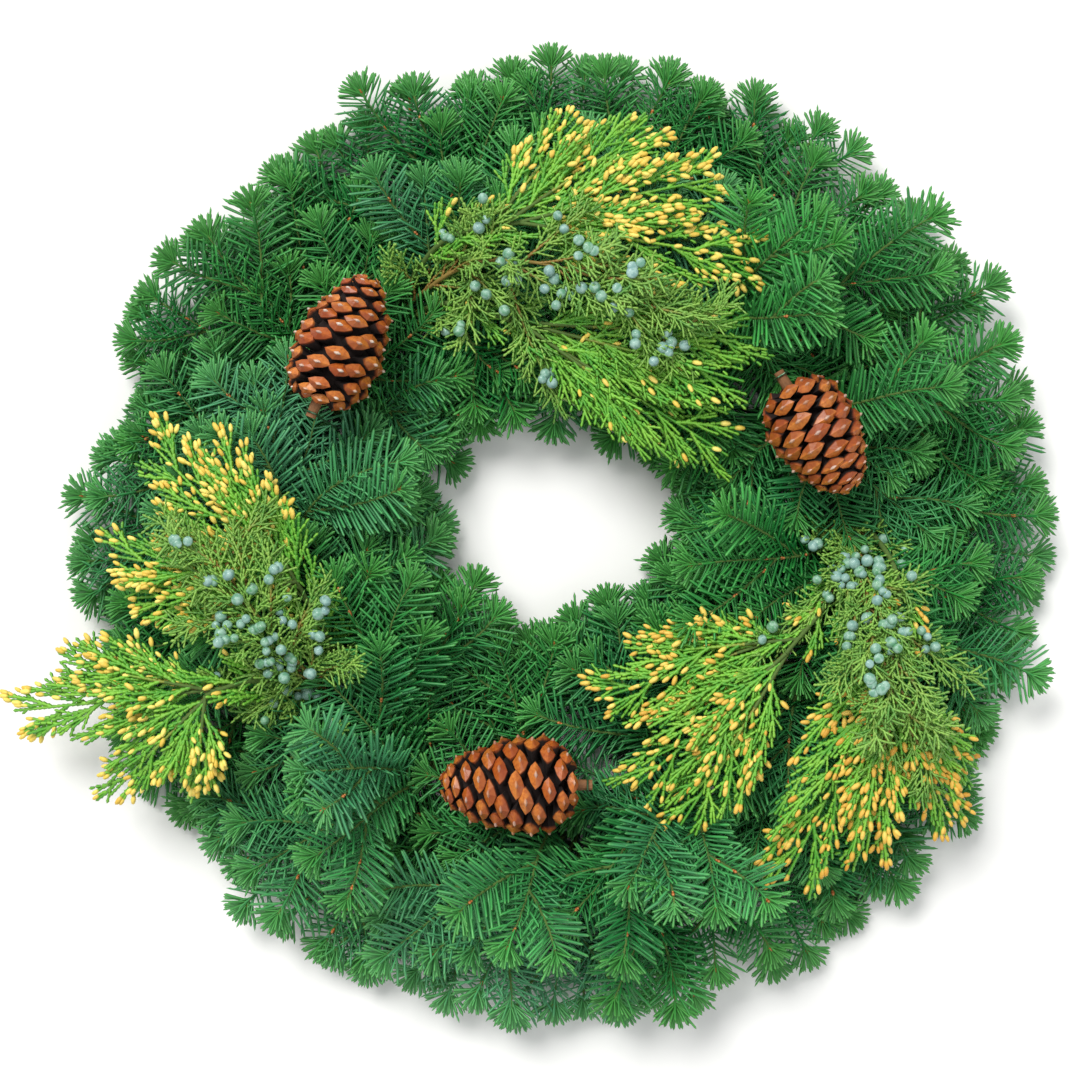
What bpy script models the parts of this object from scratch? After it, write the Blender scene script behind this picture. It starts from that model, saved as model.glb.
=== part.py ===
"""Fresh evergreen wreath: bunches of fir clamped round a wire ring, with cones, juniper and cedar on top.

The ring lies flat on its clamps. Each bunch and spray has its roots in one clamp, runs clockwise and fans out.
Run with: blender --background --python part.py
"""

import math
import random

import bmesh
import bpy
from mathutils import Matrix, Vector
from mathutils.bvhtree import BVHTree
from mathutils.geometry import interpolate_bezier

MM = 0.001
UP = Vector((0, 0, 1))

# The ring's middle, in the part's frame, whose origin is under the middle of the whole outline.
RING_MIDDLE = Vector((14.8 * MM, -0.9 * MM, 0))

# Wire ring: two rails, and flat clamps across them.
RAIL_RADII = (165 * MM, 195 * MM)
RAIL_WIRE_RADIUS = 1.8 * MM
RAIL_SEGMENTS = 24
RAIL_SIDES = 5
RAIL_SUNK = 0.3 * MM
CLAMP_COUNT = 12
CLAMP_FIRST_ANGLE = 8
CLAMP_STEP = 360 / CLAMP_COUNT
CLAMP_WIDTH = 10 * MM
CLAMP_THICKNESS = 2 * MM
CLAMP_INNER_RADIUS = 156 * MM
CLAMP_OUTER_RADIUS = 204 * MM
CLAMP_HEIGHT = 9.2 * MM
SPRAY_CLAMP_HEIGHT = 13.2 * MM
SPRAY_CLAMPS = (0, 4, 7)
PRONG_FOLD = 21 * MM
RAIL_HEIGHT = CLAMP_THICKNESS + RAIL_WIRE_RADIUS - RAIL_SUNK

# The open middle: an ellipse a little left of and above the ring's middle.
HOLE_MIDDLE = Vector((-10 * MM, 17 * MM, 0))
HOLE_HALF_WIDTH = 74 * MM
HOLE_HALF_HEIGHT = 56 * MM

# Bare roots in the clamps, from a little before each clamp to a little after it, clockwise.
ROOT_BEFORE = 4.5
ROOT_AFTER = 3.5
SPRAY_ROOT_AFTER = 2.4
ROOT_RADIUS = 2.2 * MM
LOW_LEVEL = 4.2 * MM
HIGH_LEVEL = 8.4 * MM

# Fir sprigs.
SPRIG_TIP_RADIUS = 1.6 * MM
BUD_LENGTH = 5 * MM
WHORL_LENGTH = 8 * MM
WHORL_SPACING = 19 * MM
WHORLS = {"outer": 4, "face": 4, "inner": 3}
COVERED_WHORLS = {"outer": 3, "face": 2, "inner": 3}
NEEDLE_LENGTH = 24 * MM
NEEDLE_PITCH = 54
END_NEEDLE_LENGTH = 19 * MM
END_NEEDLE_PITCH = 24
NEEDLE_JITTER = 7
NEEDLE_FLATTEN = 0.25
SHORTER = (1, 0.75, 0.5)
OUTER_PART = 0.25
FLOOR_GAP = 1.0 * MM
GAP = 0.3 * MM

# Cords of fronds and twigs: how much flatter than round a frond is, how far a side's normal may turn towards
# the frond's before it bears no cord, and how far side spikes lean from their parent.
FROND_FLATTEN = 0.8
BROAD_SIDE = 0.65
FORK_LEAN = 0.8

# Each bunch: its lane in the clamp, then its main sprig and the side sprigs that leave the main one, nearest
# first. For each sprig: the tip's radius, height and clockwise turn from the clamp, the lean of the tip from
# straight out, and the slope of the tip. Lengths in mm, angles in degrees.
BUNCHES = {
    "outer": (
        188,
        (
            (280, 62, 31, 30, 6),
            (298, 24, 9, 6, -4),
            (291, 42, 20, 18, 2),
        ),
    ),
    "face": (
        180,
        (
            (172, 92, 38, 70, 2),
            (244, 84, 17, 20, 12),
            (212, 96, 27, 38, 10),
        ),
    ),
}
# The same for the inner bunches, but with the tip's distance outside the hole's edge and its lean from straight
# in. Every second inner bunch has the main sprig only.
INNER_LANE = 172
INNER_SPRIGS = (
    (26, 62, 33, 30, 0),
    (16, 34, 17, 22, -8),
)
FIRST_FORK = {"outer": 7 * MM, "face": 18 * MM, "inner": 7 * MM}
FORK_STEP = 12 * MM
TIP_RADIUS_DRAW = 7
TIP_HEIGHT_DRAW = 4
TIP_TURN_DRAW = 1.6

# How steeply each row leaves its clamp, and how far the ends of a sprig's curve keep their directions.
RISE = {"outer": 0.22, "face": 0.42, "inner": 0.2}
MAIN_LEAVE = 0.3
SIDE_LEAVE = 0.16
SIDE_RISE = 0.6
ARRIVE = 0.42
BARE_STATION = 0.45
CURVE_STEPS = 32
# Below a cone or a spray the sprigs stay low, and hold fewer needles. The reach is less for the face row.
COVERED_SHARE = {"outer": 0.5, "face": 0.56, "inner": 0.5}
BELOW_CONE_SHARE = {"outer": 0.36, "face": 0.42, "inner": 0.42}
COVER_REACH = {"outer": 62 * MM, "face": 42 * MM, "inner": 54 * MM}
CONE_COVER = (-0.35, 0, 0.35)
FROND_COVER = 0.65
HALF_WAY = 0.55

# Cones: middle (ring angle, radius, height), direction of the apex, length, greatest radius, and the ring angle
# where the cone's wire is hooked under a rail.
CONES = {
    "cone_upper_left": (138, 183, 80, 67, 86, 30, 154.6),
    "cone_right": (22, 168, 78, -58, 78, 29, 34.6),
    "cone_bottom": (257, 154, 79, 180, 86, 31, 274.6),
}
CONE_SCALES = 60
CONE_CORE = 0.60
CONE_SCALE_FILL = 0.74
CONE_UMBO = 2.6 * MM
CONE_TAPER = 0.18
CONE_LIFT = 0.4
CONE_END_DEPTH = 0.55
CONE_STUB_RADIUS = 3.2 * MM
CONE_STUB_LENGTH = 15 * MM
WIRE_FROM_STUB_END = 3 * MM
GOLDEN_ANGLE = math.pi * (3 - math.sqrt(5))

# Cone wires: the loop round the stalk, how far the leg bows inwards, and the hook round the inner rail, inwards
# and upwards from the rail's middle.
WIRE_RADIUS = 0.6 * MM
WIRE_LOOP_STEPS = 6
WIRE_LOOP_BEND = 60
WIRE_BOW_SHARE = 0.45
WIRE_BOW = 12 * MM
WIRE_HOOK = ((3.0, 6.0), (3.0, -1.3), (1.6, -2.7), (-1.2, -2.7))

FIR_COLOURS = ((0.05, 0.22, 0.08), (0.07, 0.26, 0.1), (0.04, 0.18, 0.09))

# Sprays: the clamp that holds the root, its lane, the stem's points and, for cedar, the tips of its two fronds.
# Points are mm from the ring's middle.
JUNIPERS = {
    "juniper_top": (4, 180, ((-66, 168, 60), (-24, 170, 86), (30, 154, 94), (72, 122, 88))),
    "juniper_left": (7, 180, ((-162, -80, 60), (-182, -54, 82), (-202, -26, 88), (-214, 2, 84))),
    "juniper_right": (0, 180, ((184, -26, 60), (188, -56, 82), (198, -90, 89), (208, -122, 84))),
}
CEDARS = {
    "cedar_top_outer": (4, 186, ((-74, 186, 64), (-28, 194, 82)), ((8, 258, 64), (92, 222, 76))),
    "cedar_top_inner": (4, 174, ((-70, 148, 48), (-22, 130, 72)), ((106, 98, 80), (98, 54, 62))),
    "cedar_left_upper": (7, 174, ((-146, -66, 46), (-166, -26, 64)), ((-254, 58, 66), (-276, -10, 72))),
    "cedar_left_lower": (7, 186, ((-190, -88, 54), (-222, -96, 68)), ((-340, -106, 52), (-280, -156, 58))),
    "cedar_right_inner": (0, 174, ((170, -28, 46), (136, -70, 70)), ((22, -98, 62), (72, -174, 72))),
    "cedar_right_outer": (0, 186, ((206, -24, 62), (198, -96, 78)), ((138, -208, 62), (238, -174, 64))),
}
SPRAY_STEPS = 8
STEM_TAPER = 0.1 * MM
CEDAR_RADIUS = 2.2 * MM
CEDAR_STATIONS = 4
CEDAR_FORKS = (4, 2)
CEDAR_PAIRS = 6
FROND_RADIUS = 1.9 * MM
FROND_TAPER = 0.055 * MM
FROND_BOW = 7 * MM
FROND_BARE = 0.12
CORD_BASE = 5 * MM
CORD_PITCH = 38
CORD_FORKS = 0.34
CORD_LENGTH_SHARE = 0.3
CORD_LENGTH_MORE = 10 * MM
CORD_BULGE = (0.3, 0.85)
CORD_END = 14 * MM
JUNIPER_RADIUS = 2.4 * MM
JUNIPER_BARE = 0.4
JUNIPER_FORK = (0.52, 0.56)
JUNIPER_SIDE = 40 * MM
JUNIPER_SIDE_LEAN = 0.9
JUNIPER_SIDE_RADIUS = 1.8 * MM
TWIG_BASE = 6 * MM
TWIG_LENGTHS = (36, 42, 40, 32, 18)
SIDE_TWIG_LENGTHS = (30, 28, 22, 14)
TWIG_PITCH = 48
TWIG_FLATTEN = 0.5
TWIG_FORKS = 0.3
BERRY_RADIUS = 3.5 * MM
BERRY_APART = 2.2
BERRY_PLACE = (0.5, 0.8)
BERRIES = 8


# ---- small helpers ---------------------------------------------------------------------------------------


def ring_point(radius, angle, height):
    turn = math.radians(angle)
    return Vector((radius * math.cos(turn), radius * math.sin(turn), height))


def outward(angle):
    return ring_point(1, angle, 0)


def clockwise(angle):
    return ring_point(1, angle - 90, 0)


def clamp_angle(index):
    return CLAMP_FIRST_ANGLE + CLAMP_STEP * index


def sloped(direction, slope):
    turn = math.radians(slope)
    return direction.normalized() * math.cos(turn) + UP * math.sin(turn)


def spaced(points, stops):
    """The points at the given distances along a polyline."""
    lengths = [0]
    for before, after in zip(points, points[1:]):
        lengths.append(lengths[-1] + (after - before).length)
    found = []
    for stop in stops:
        j = 1
        while j < len(points) - 1 and lengths[j] < stop:
            j += 1
        share = (stop - lengths[j - 1]) / (lengths[j] - lengths[j - 1])
        found.append(points[j - 1].lerp(points[j], share))
    return found


def polyline_length(points):
    return sum((after - before).length for before, after in zip(points, points[1:]))


def through(points, steps):
    """A smooth curve through hand-chosen points."""
    curve = []
    for j in range(len(points) - 1):
        before = points[max(j - 1, 0)]
        after = points[min(j + 2, len(points) - 1)]
        start, end = points[j], points[j + 1]
        handle_out = start + (end - before) / 6
        handle_in = end - (after - start) / 6
        curve += interpolate_bezier(start, handle_out, handle_in, end, steps)[:-1]
    return curve + [points[-1]]


def tree_of(mesh_objects):
    vertices, faces = [], []
    for obj in mesh_objects:
        offset = len(vertices)
        vertices += [obj.matrix_world @ v.co for v in obj.data.vertices]
        faces += [[offset + i for i in p.vertices] for p in obj.data.polygons]
    return BVHTree.FromPolygons(vertices, faces)


def object_from(name, bm, collection):
    mesh = bpy.data.meshes.new(name)
    bm.to_mesh(mesh)
    bm.free()
    obj = bpy.data.objects.new(name, mesh)
    collection.objects.link(obj)
    return obj


def evaluated_copy(obj, name, collection):
    """A plain mesh object with everything on obj applied, in world space; obj is removed."""
    bpy.context.view_layer.update()
    graph = bpy.context.evaluated_depsgraph_get()
    mesh = bpy.data.meshes.new_from_object(obj.evaluated_get(graph))
    mesh.transform(obj.matrix_world)
    bpy.data.objects.remove(obj)
    copy = bpy.data.objects.new(name, mesh)
    collection.objects.link(copy)
    return copy


def keep_largest(bm):
    """Drops loose scraps: every shell but the one with most faces."""
    left = set(bm.faces)
    shells = []
    while left:
        shell, edge_faces = set(), [left.pop()]
        while edge_faces:
            face = edge_faces.pop()
            shell.add(face)
            for edge in face.edges:
                for other in edge.link_faces:
                    if other in left:
                        left.remove(other)
                        edge_faces.append(other)
        shells.append(shell)
    shells.sort(key=len)
    scraps = [face for shell in shells[:-1] for face in shell]
    bmesh.ops.delete(bm, geom=scraps, context="FACES")


def join_repeats(name, repeats, collection):
    """One Boolean union of all the repeats; their objects are then removed."""
    first = repeats[0]
    if len(repeats) > 1:
        others = bpy.data.collections.new(name + "_repeats")
        bpy.context.scene.collection.children.link(others)
        for obj in repeats[1:]:
            for user in list(obj.users_collection):
                user.objects.unlink(obj)
            others.objects.link(obj)
        union = first.modifiers.new("union", "BOOLEAN")
        union.operation = "UNION"
        union.solver = "MANIFOLD"
        union.operand_type = "COLLECTION"
        union.collection = others
        joined = evaluated_copy(first, name, collection)
        for obj in list(others.objects):
            bpy.data.objects.remove(obj)
        bpy.data.collections.remove(others)
    else:
        joined = evaluated_copy(first, name, collection)
    bm = bmesh.new()
    bm.from_mesh(joined.data)
    bmesh.ops.remove_doubles(bm, verts=bm.verts, dist=0.001 * MM)
    bmesh.ops.dissolve_degenerate(bm, edges=bm.edges, dist=0.001 * MM)
    bmesh.ops.triangulate(bm, faces=bm.faces)
    keep_largest(bm)
    bm.to_mesh(joined.data)
    bm.free()
    return joined


def paint(obj, colour, roughness, metallic=0.0):
    material = bpy.data.materials.new(obj.name)
    material.use_nodes = True
    shader = material.node_tree.nodes["Principled BSDF"]
    shader.inputs["Base Color"].default_value = (*colour, 1)
    shader.inputs["Roughness"].default_value = roughness
    shader.inputs["Metallic"].default_value = metallic
    obj.data.materials.clear()
    obj.data.materials.append(material)


# ---- stems with needles or cords -------------------------------------------------------------------------


class Stem:
    """A three-sided tube whose every other ring is turned half a step, so that its sides are triangles.

    path: points from root to tip. radii: one for each point but the sharp tip. spikes: for each stretch between
    two rings, and for the tip last, the length of its needles or cords, or 0. flat: the normal of a frond's
    plane. flatten: the share by which spikes lean less up and down than sideways. forks: the length of each
    spike's own side spikes, as a share of its length.
    """

    def __init__(self, path, radii, spikes, pitch, flat=None, flatten=0.0, forks=0.0, seed="stem"):
        self.path = path
        self.radii = radii
        self.spikes = spikes
        self.pitch = pitch
        self.flat = flat
        self.flatten = flatten
        self.forks = forks
        self.draw = random.Random(seed)
        self.drawn = []

    def frames(self):
        """For each point, the directions ahead, sideways and up, with the least turn from one to the next."""
        found = []
        side = None
        for j, point in enumerate(self.path):
            before = self.path[max(j - 1, 0)]
            after = self.path[min(j + 1, len(self.path) - 1)]
            ahead = (after - before).normalized()
            if side is None:
                side = (self.flat or UP).cross(ahead)
            side = (side - ahead * side.dot(ahead)).normalized()
            found.append((ahead, side, ahead.cross(side)))
        return found

    def rings(self, extra=0.0):
        rings = []
        for j, (ahead, side, up) in enumerate(self.frames()[:-1]):
            ring = []
            for corner in range(3):
                turn = math.pi / 3 * (j % 2) + math.tau * corner / 3 + math.pi / 2
                reach = self.radii[j] + extra
                ring.append(self.path[j] + reach * (math.cos(turn) * side + math.sin(turn) * up))
            rings.append(ring)
        return rings

    def sides(self):
        """Index triples of the side faces of each stretch: ring j, corner or ring j + 1, corner."""
        stretches = []
        for j in range(len(self.radii) - 1):
            low, high, shift = j * 3, j * 3 + 3, j % 2
            faces = []
            for c in range(3):
                here, there = low + c, low + (c + 1) % 3
                above, beyond = high + (c + shift) % 3, high + (c + 1 + shift) % 3
                faces.append((here, there, above))
                faces.append((there, beyond, above))
            stretches.append(faces)
        last = (len(self.radii) - 1) * 3
        tip = last + 3
        stretches.append([(last + c, last + (c + 1) % 3, tip) for c in range(3)])
        return stretches

    def core(self, extra):
        """The bare tube, made thicker by extra, as vertices and faces."""
        vertices = [corner for ring in self.rings(extra) for corner in ring] + [self.path[-1]]
        faces = [(2, 1, 0)] + [face for stretch in self.sides() for face in stretch]
        return vertices, faces

    def spike_end(self, base, ahead, length, pitch):
        middle = (base[0] + base[1] + base[2]) / 3
        out = (base[1] - base[0]).cross(base[2] - base[0]).normalized()
        out = (out - ahead * out.dot(ahead)).normalized()
        if self.flat:
            out = (out - self.flat * out.dot(self.flat) * FROND_FLATTEN).normalized()
        out.z *= 1 - self.flatten
        turn = math.radians(pitch + self.draw.uniform(-NEEDLE_JITTER, NEEDLE_JITTER))
        return middle + length * (math.cos(turn) * ahead + math.sin(turn) * out)

    def grow(self, name, collection, obstacles, siblings):
        """The tube as an object, with each spike that stays clear of the obstacles drawn out of its face.

        siblings: the outer parts of the node's earlier spikes, to which this stem's own are added.
        """
        vertices, _ = self.core(0)
        frames = self.frames()
        bm = bmesh.new()
        corners = [bm.verts.new(v) for v in vertices]
        bm.faces.new([corners[i] for i in (2, 1, 0)])
        for j, stretch in enumerate(self.sides()):
            for face in stretch:
                base = [vertices[i] for i in face]
                end = self.clear_end(base, frames[j][0], j, obstacles, siblings)
                verts = [corners[i] for i in face]
                if end is None:
                    bm.faces.new(verts)
                else:
                    self.draw_out(bm, verts, end, obstacles, siblings)
                    siblings.append(spike_tree(base, end, OUTER_PART))
        bm.normal_update()
        return object_from(name, bm, collection)

    def clear_end(self, base, ahead, j, obstacles, siblings):
        """The furthest end that a spike of stretch j can have, or None."""
        length = self.spikes[j]
        if not length:
            return None
        out = (base[1] - base[0]).cross(base[2] - base[0]).normalized()
        at_tip = j == len(self.radii) - 1
        if self.flat and abs(out.dot(self.flat)) > BROAD_SIDE and not at_tip:
            return None
        pitch = END_NEEDLE_PITCH if at_tip else self.pitch
        for share in SHORTER:
            end = self.spike_end(base, ahead, length * share, pitch)
            if end.z > FLOOR_GAP and is_clear(base, end, obstacles, siblings):
                return end
        return None

    def draw_out(self, bm, verts, end, obstacles, siblings):
        """A three-sided spike; with forks, its two broad sides carry a shorter one each."""
        top = bm.verts.new(end)
        self.drawn.append((sum((v.co for v in verts), Vector()) / 3, end))
        for a, b in ((0, 1), (1, 2), (2, 0)):
            side = [verts[a], verts[b], top]
            points = [v.co.copy() for v in side]
            out = (points[1] - points[0]).cross(points[2] - points[0]).normalized()
            ahead = (end - (points[0] + points[1]) / 2).normalized()
            lateral = abs(out.dot(self.flat or UP)) < BROAD_SIDE
            reach = self.forks * (end - points[0]).length
            fork = (points[0] + points[1] + points[2]) / 3 + reach * (ahead + out * FORK_LEAN).normalized()
            if reach and lateral and fork.z > FLOOR_GAP and is_clear(points, fork, obstacles, siblings):
                siblings.append(spike_tree(points, fork, OUTER_PART))
                prong = bm.verts.new(fork)
                bm.faces.new((side[0], side[1], prong))
                bm.faces.new((side[1], side[2], prong))
                bm.faces.new((side[2], side[0], prong))
            else:
                bm.faces.new(side)


def spike_tree(base, end, start):
    """A three-sided spike, a little larger than drawn, from a share of its length to past its end."""
    middle = (base[0] + base[1] + base[2]) / 3
    wide = [(middle + (corner - middle) * 1.2).lerp(end, start) for corner in base]
    past = end + (end - middle).normalized() * GAP
    return BVHTree.FromPolygons([*wide, past], [(0, 1, 3), (1, 2, 3), (2, 0, 3)])


def is_clear(base, end, obstacles, siblings):
    """True where a spike meets no other node, and its outer part meets no spike of its own node."""
    spike = spike_tree(base, end, 0)
    if any(spike.overlap(tree) for tree in obstacles):
        return False
    spike = spike_tree(base, end, OUTER_PART)
    return not any(spike.overlap(tree) for tree in siblings)


# ---- the wire ring ---------------------------------------------------------------------------------------


def clamp_strap(index, collection):
    """A flat strap across both rails, its ends turned up and folded inwards as prongs."""
    inner, outer = CLAMP_INNER_RADIUS, CLAMP_OUTER_RADIUS
    thick = CLAMP_THICKNESS
    high = SPRAY_CLAMP_HEIGHT if index in SPRAY_CLAMPS else CLAMP_HEIGHT
    outline = (
        (inner, 0),
        (outer, 0),
        (outer, high),
        (outer - PRONG_FOLD, high),
        (outer - PRONG_FOLD, high - thick),
        (outer - thick, high - thick),
        (outer - thick, thick),
        (inner + thick, thick),
        (inner + thick, high - thick),
        (inner + PRONG_FOLD, high - thick),
        (inner + PRONG_FOLD, high),
        (inner, high),
    )
    bm = bmesh.new()
    edge = [bm.verts.new((radius, -CLAMP_WIDTH / 2, height)) for radius, height in outline]
    face = bm.faces.new(edge)
    swept = bmesh.ops.extrude_face_region(bm, geom=[face])
    moved = [item for item in swept["geom"] if isinstance(item, bmesh.types.BMVert)]
    bmesh.ops.translate(bm, verts=moved, vec=(0, CLAMP_WIDTH, 0))
    bmesh.ops.recalc_face_normals(bm, faces=bm.faces)
    bmesh.ops.rotate(bm, verts=bm.verts, matrix=Matrix.Rotation(math.radians(clamp_angle(index)), 3, "Z"))
    return object_from(f"strap_{index}", bm, collection)


def build_ring(collection):
    repeats = []
    for radius in RAIL_RADII:
        bpy.ops.mesh.primitive_torus_add(
            location=(0, 0, RAIL_HEIGHT),
            major_radius=radius,
            minor_radius=RAIL_WIRE_RADIUS,
            major_segments=RAIL_SEGMENTS,
            minor_segments=RAIL_SIDES,
        )
        rail = bpy.context.object
        for user in list(rail.users_collection):
            user.objects.unlink(rail)
        collection.objects.link(rail)
        repeats.append(rail)
    straps = [clamp_strap(index, collection) for index in range(CLAMP_COUNT)]
    ring = join_repeats("ring_frame", straps + repeats, collection)
    paint(ring, (0.05, 0.09, 0.06), 0.5, 0.6)
    return ring


# ---- cones -----------------------------------------------------------------------------------------------


def cone_point(share, turn, length, radius):
    """A point of an egg shape with its base at share 0 and its apex at share 1, on the Z axis."""
    along = 2 * share - 1
    girth = math.sqrt(max(1 - along * along, 0)) * (1 - CONE_TAPER * along)
    return Vector((radius * girth * math.cos(turn), radius * girth * math.sin(turn), length / 2 * along))


def build_cone(name, collection):
    """Scales in spiral order: each cell of the core is raised into a rhombic scale end with a blunt point."""
    angle, ring_radius, height, heading, length, radius, wire_angle = CONES[name]
    length, radius = length * MM, radius * MM
    depth = radius * (1 - CONE_CORE)
    count = CONE_SCALES + 13
    cell = (0, 5, 13, 8)
    bm = bmesh.new()
    inner, outer = [], []
    for m in range(count):
        share, turn = (m + 2) / (count + 3), m * GOLDEN_ANGLE
        inner.append(cone_point(share, turn, length - 2 * depth, radius - depth))
        outer.append(cone_point(share, turn, length, radius))
    core = [bm.verts.new(point) for point in inner]
    for m in range(CONE_SCALES):
        ends = [outer[m + step] for step in cell]
        middle = sum(ends, Vector()) / 4
        lip = [bm.verts.new(middle.lerp(end, CONE_SCALE_FILL)) for end in ends]
        lift = Vector((middle.x, middle.y, middle.z * CONE_LIFT)).normalized()
        umbo = bm.verts.new(middle + lift * CONE_UMBO)
        for a in range(4):
            b = (a + 1) % 4
            bm.faces.new((core[m + cell[a]], core[m + cell[b]], lip[b], lip[a]))
            bm.faces.new((lip[a], lip[b], umbo))
    close_cone(bm, length, depth)
    bmesh.ops.recalc_face_normals(bm, faces=bm.faces)
    bmesh.ops.triangulate(bm, faces=bm.faces)
    cone = object_from(name, bm, collection)
    place = Matrix.Translation(ring_point(ring_radius * MM, angle, height * MM))
    heading = Matrix.Rotation(math.radians(heading), 4, "Z") @ Matrix.Rotation(math.radians(90), 4, "Y")
    cone.data.transform(place @ heading)
    paint(cone, (0.42, 0.16, 0.05), 0.6)
    return cone


def close_cone(bm, length, depth):
    """Closes the base with a stalk and the apex with a point."""
    rims = [edge for edge in bm.edges if edge.is_boundary]
    base_rim = [edge for edge in rims if edge.verts[0].co.z < 0]
    apex_rim = [edge for edge in rims if edge.verts[0].co.z > 0]
    base = bmesh.ops.edgeloop_fill(bm, edges=base_rim)["faces"][0]
    stub_start = -length / 2 + depth * CONE_END_DEPTH
    for start in (stub_start, stub_start - CONE_STUB_LENGTH):
        base = bmesh.ops.extrude_discrete_faces(bm, faces=[base])["faces"][0]
        for vert in base.verts:
            flat = Vector((vert.co.x, vert.co.y)).normalized() * CONE_STUB_RADIUS
            vert.co = (flat.x, flat.y, start)
    apex = bmesh.ops.edgeloop_fill(bm, edges=apex_rim)["faces"]
    top = bmesh.ops.poke(bm, faces=apex)["verts"][0]
    top.co = (0, 0, length / 2 - depth * CONE_END_DEPTH)


def cone_stub(name):
    """The point of the cone's stalk that its wire loops round, and the direction from it towards the apex."""
    angle, ring_radius, height, heading, length, radius, wire_angle = CONES[name]
    ahead = outward(heading)
    middle = ring_point(ring_radius * MM, angle, height * MM)
    depth = radius * MM * (1 - CONE_CORE)
    from_middle = length * MM / 2 - depth * CONE_END_DEPTH + CONE_STUB_LENGTH - WIRE_FROM_STUB_END
    return middle - ahead * from_middle, ahead


def facet_radius(radius, angle):
    """How far out a rail's straight facet lies at an angle."""
    facet = 360 / RAIL_SEGMENTS
    from_middle = math.radians(angle % facet - facet / 2)
    return radius * math.cos(math.radians(facet / 2)) / math.cos(from_middle)


def build_wire(name, collection):
    """A wire that hooks round the cone's stalk and runs down to hook under a rail."""
    stub, ahead = cone_stub(name)
    across = ahead.cross(UP)
    bend = math.radians(WIRE_LOOP_BEND)
    loop = (CONE_STUB_RADIUS + WIRE_RADIUS + GAP) / math.cos(bend / 2)
    points = []
    for step in range(WIRE_LOOP_STEPS):
        turn = bend * (step - 1)
        points.append(stub + loop * (math.cos(turn) * across + math.sin(turn) * UP))
    rail_angle = CONES[name][-1]
    middle = ring_point(facet_radius(RAIL_RADII[0], rail_angle), rail_angle, RAIL_HEIGHT)
    inwards = -outward(rail_angle)
    points.append(points[-1].lerp(middle, WIRE_BOW_SHARE) + inwards * WIRE_BOW)
    points += [middle + inwards * across * MM + UP * up * MM for across, up in WIRE_HOOK]
    curve = bpy.data.curves.new(name + "_wire", "CURVE")
    curve.dimensions = "3D"
    curve.bevel_depth = WIRE_RADIUS
    curve.bevel_resolution = 2
    curve.use_fill_caps = True
    spline = curve.splines.new("POLY")
    spline.points.add(len(points) - 1)
    for slot, point in zip(spline.points, points):
        slot.co = (*point, 1)
    wire = bpy.data.objects.new(name + "_wire", curve)
    collection.objects.link(wire)
    wire = evaluated_copy(wire, name + "_wire", collection)
    bm = bmesh.new()
    bm.from_mesh(wire.data)
    bmesh.ops.remove_doubles(bm, verts=bm.verts, dist=0.01 * MM)
    bmesh.ops.triangulate(bm, faces=bm.faces)
    bmesh.ops.recalc_face_normals(bm, faces=bm.faces)
    bm.to_mesh(wire.data)
    bm.free()
    paint(wire, (0.12, 0.2, 0.1), 0.45, 0.5)
    return wire


# ---- layout of the fir -----------------------------------------------------------------------------------


def hole_edge(angle):
    """The point of the hole's edge at an angle seen from the hole's middle."""
    turn = math.radians(angle)
    return HOLE_MIDDLE + Vector((HOLE_HALF_WIDTH * math.cos(turn), HOLE_HALF_HEIGHT * math.sin(turn), 0))


def points_below_cones():
    """Points in plan that cones lie over."""
    below = []
    for angle, radius, height, heading, length, girth, wire_angle in CONES.values():
        middle = ring_point(radius * MM, angle, 0)
        below += [middle + outward(heading) * length * MM * share for share in CONE_COVER]
    return below


def points_below_sprays():
    """Points in plan that sprays lie over."""
    below = []
    for clamp, lane, points in JUNIPERS.values():
        below += [Vector((x, y, 0)) * MM for x, y, z in points]
    for clamp, lane, points, tips in CEDARS.values():
        stem = [Vector((x, y, 0)) * MM for x, y, z in points]
        below += stem + [stem[-1].lerp(Vector((x, y, 0)) * MM, FROND_COVER) for x, y, z in tips]
    return below


BELOW_CONES = points_below_cones()
BELOW_SPRAYS = points_below_sprays()


def covered_share(kind, gate, tip):
    """The share of its height that a sprig keeps where a cone or a spray lies over its tip or the way to it."""
    share = 1
    for point in (tip, gate.lerp(tip, HALF_WAY)):
        flat = Vector((point.x, point.y, 0))
        if min((flat - below).length for below in BELOW_SPRAYS) < COVER_REACH[kind]:
            share = min(share, COVERED_SHARE[kind])
        if min((flat - below).length for below in BELOW_CONES) < COVER_REACH[kind]:
            share = min(share, BELOW_CONE_SHARE[kind])
    return share


def main_curve(lane, clamp, tip, ahead, rise):
    """A bunch's main line: straight through the clamp, then an arch to the tip."""
    start = ring_point(lane, clamp + ROOT_BEFORE, LOW_LEVEL)
    gate = ring_point(lane, clamp - ROOT_AFTER, LOW_LEVEL)
    distance = (tip - gate).length
    leave = gate + (clockwise(clamp - ROOT_AFTER) * MAIN_LEAVE + UP * rise) * distance
    arrive = tip - ahead * distance * ARRIVE
    return [start, *interpolate_bezier(gate, leave, arrive, tip, CURVE_STEPS)]


def side_curve(main, first_fork, slot, tip, ahead, rise):
    """A side sprig's line, from inside the main one."""
    root = (main[1] - main[0]).length
    stop = root + first_fork + FORK_STEP * (slot - 1)
    fork, after = spaced(main, [stop, stop + MM])
    distance = (tip - fork).length
    way = ((after - fork).normalized() + (tip - fork).normalized()) * SIDE_LEAVE + UP * rise * SIDE_RISE
    arrive = tip - ahead * distance * ARRIVE
    return list(interpolate_bezier(fork, fork + way * distance, arrive, tip, CURVE_STEPS))


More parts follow.
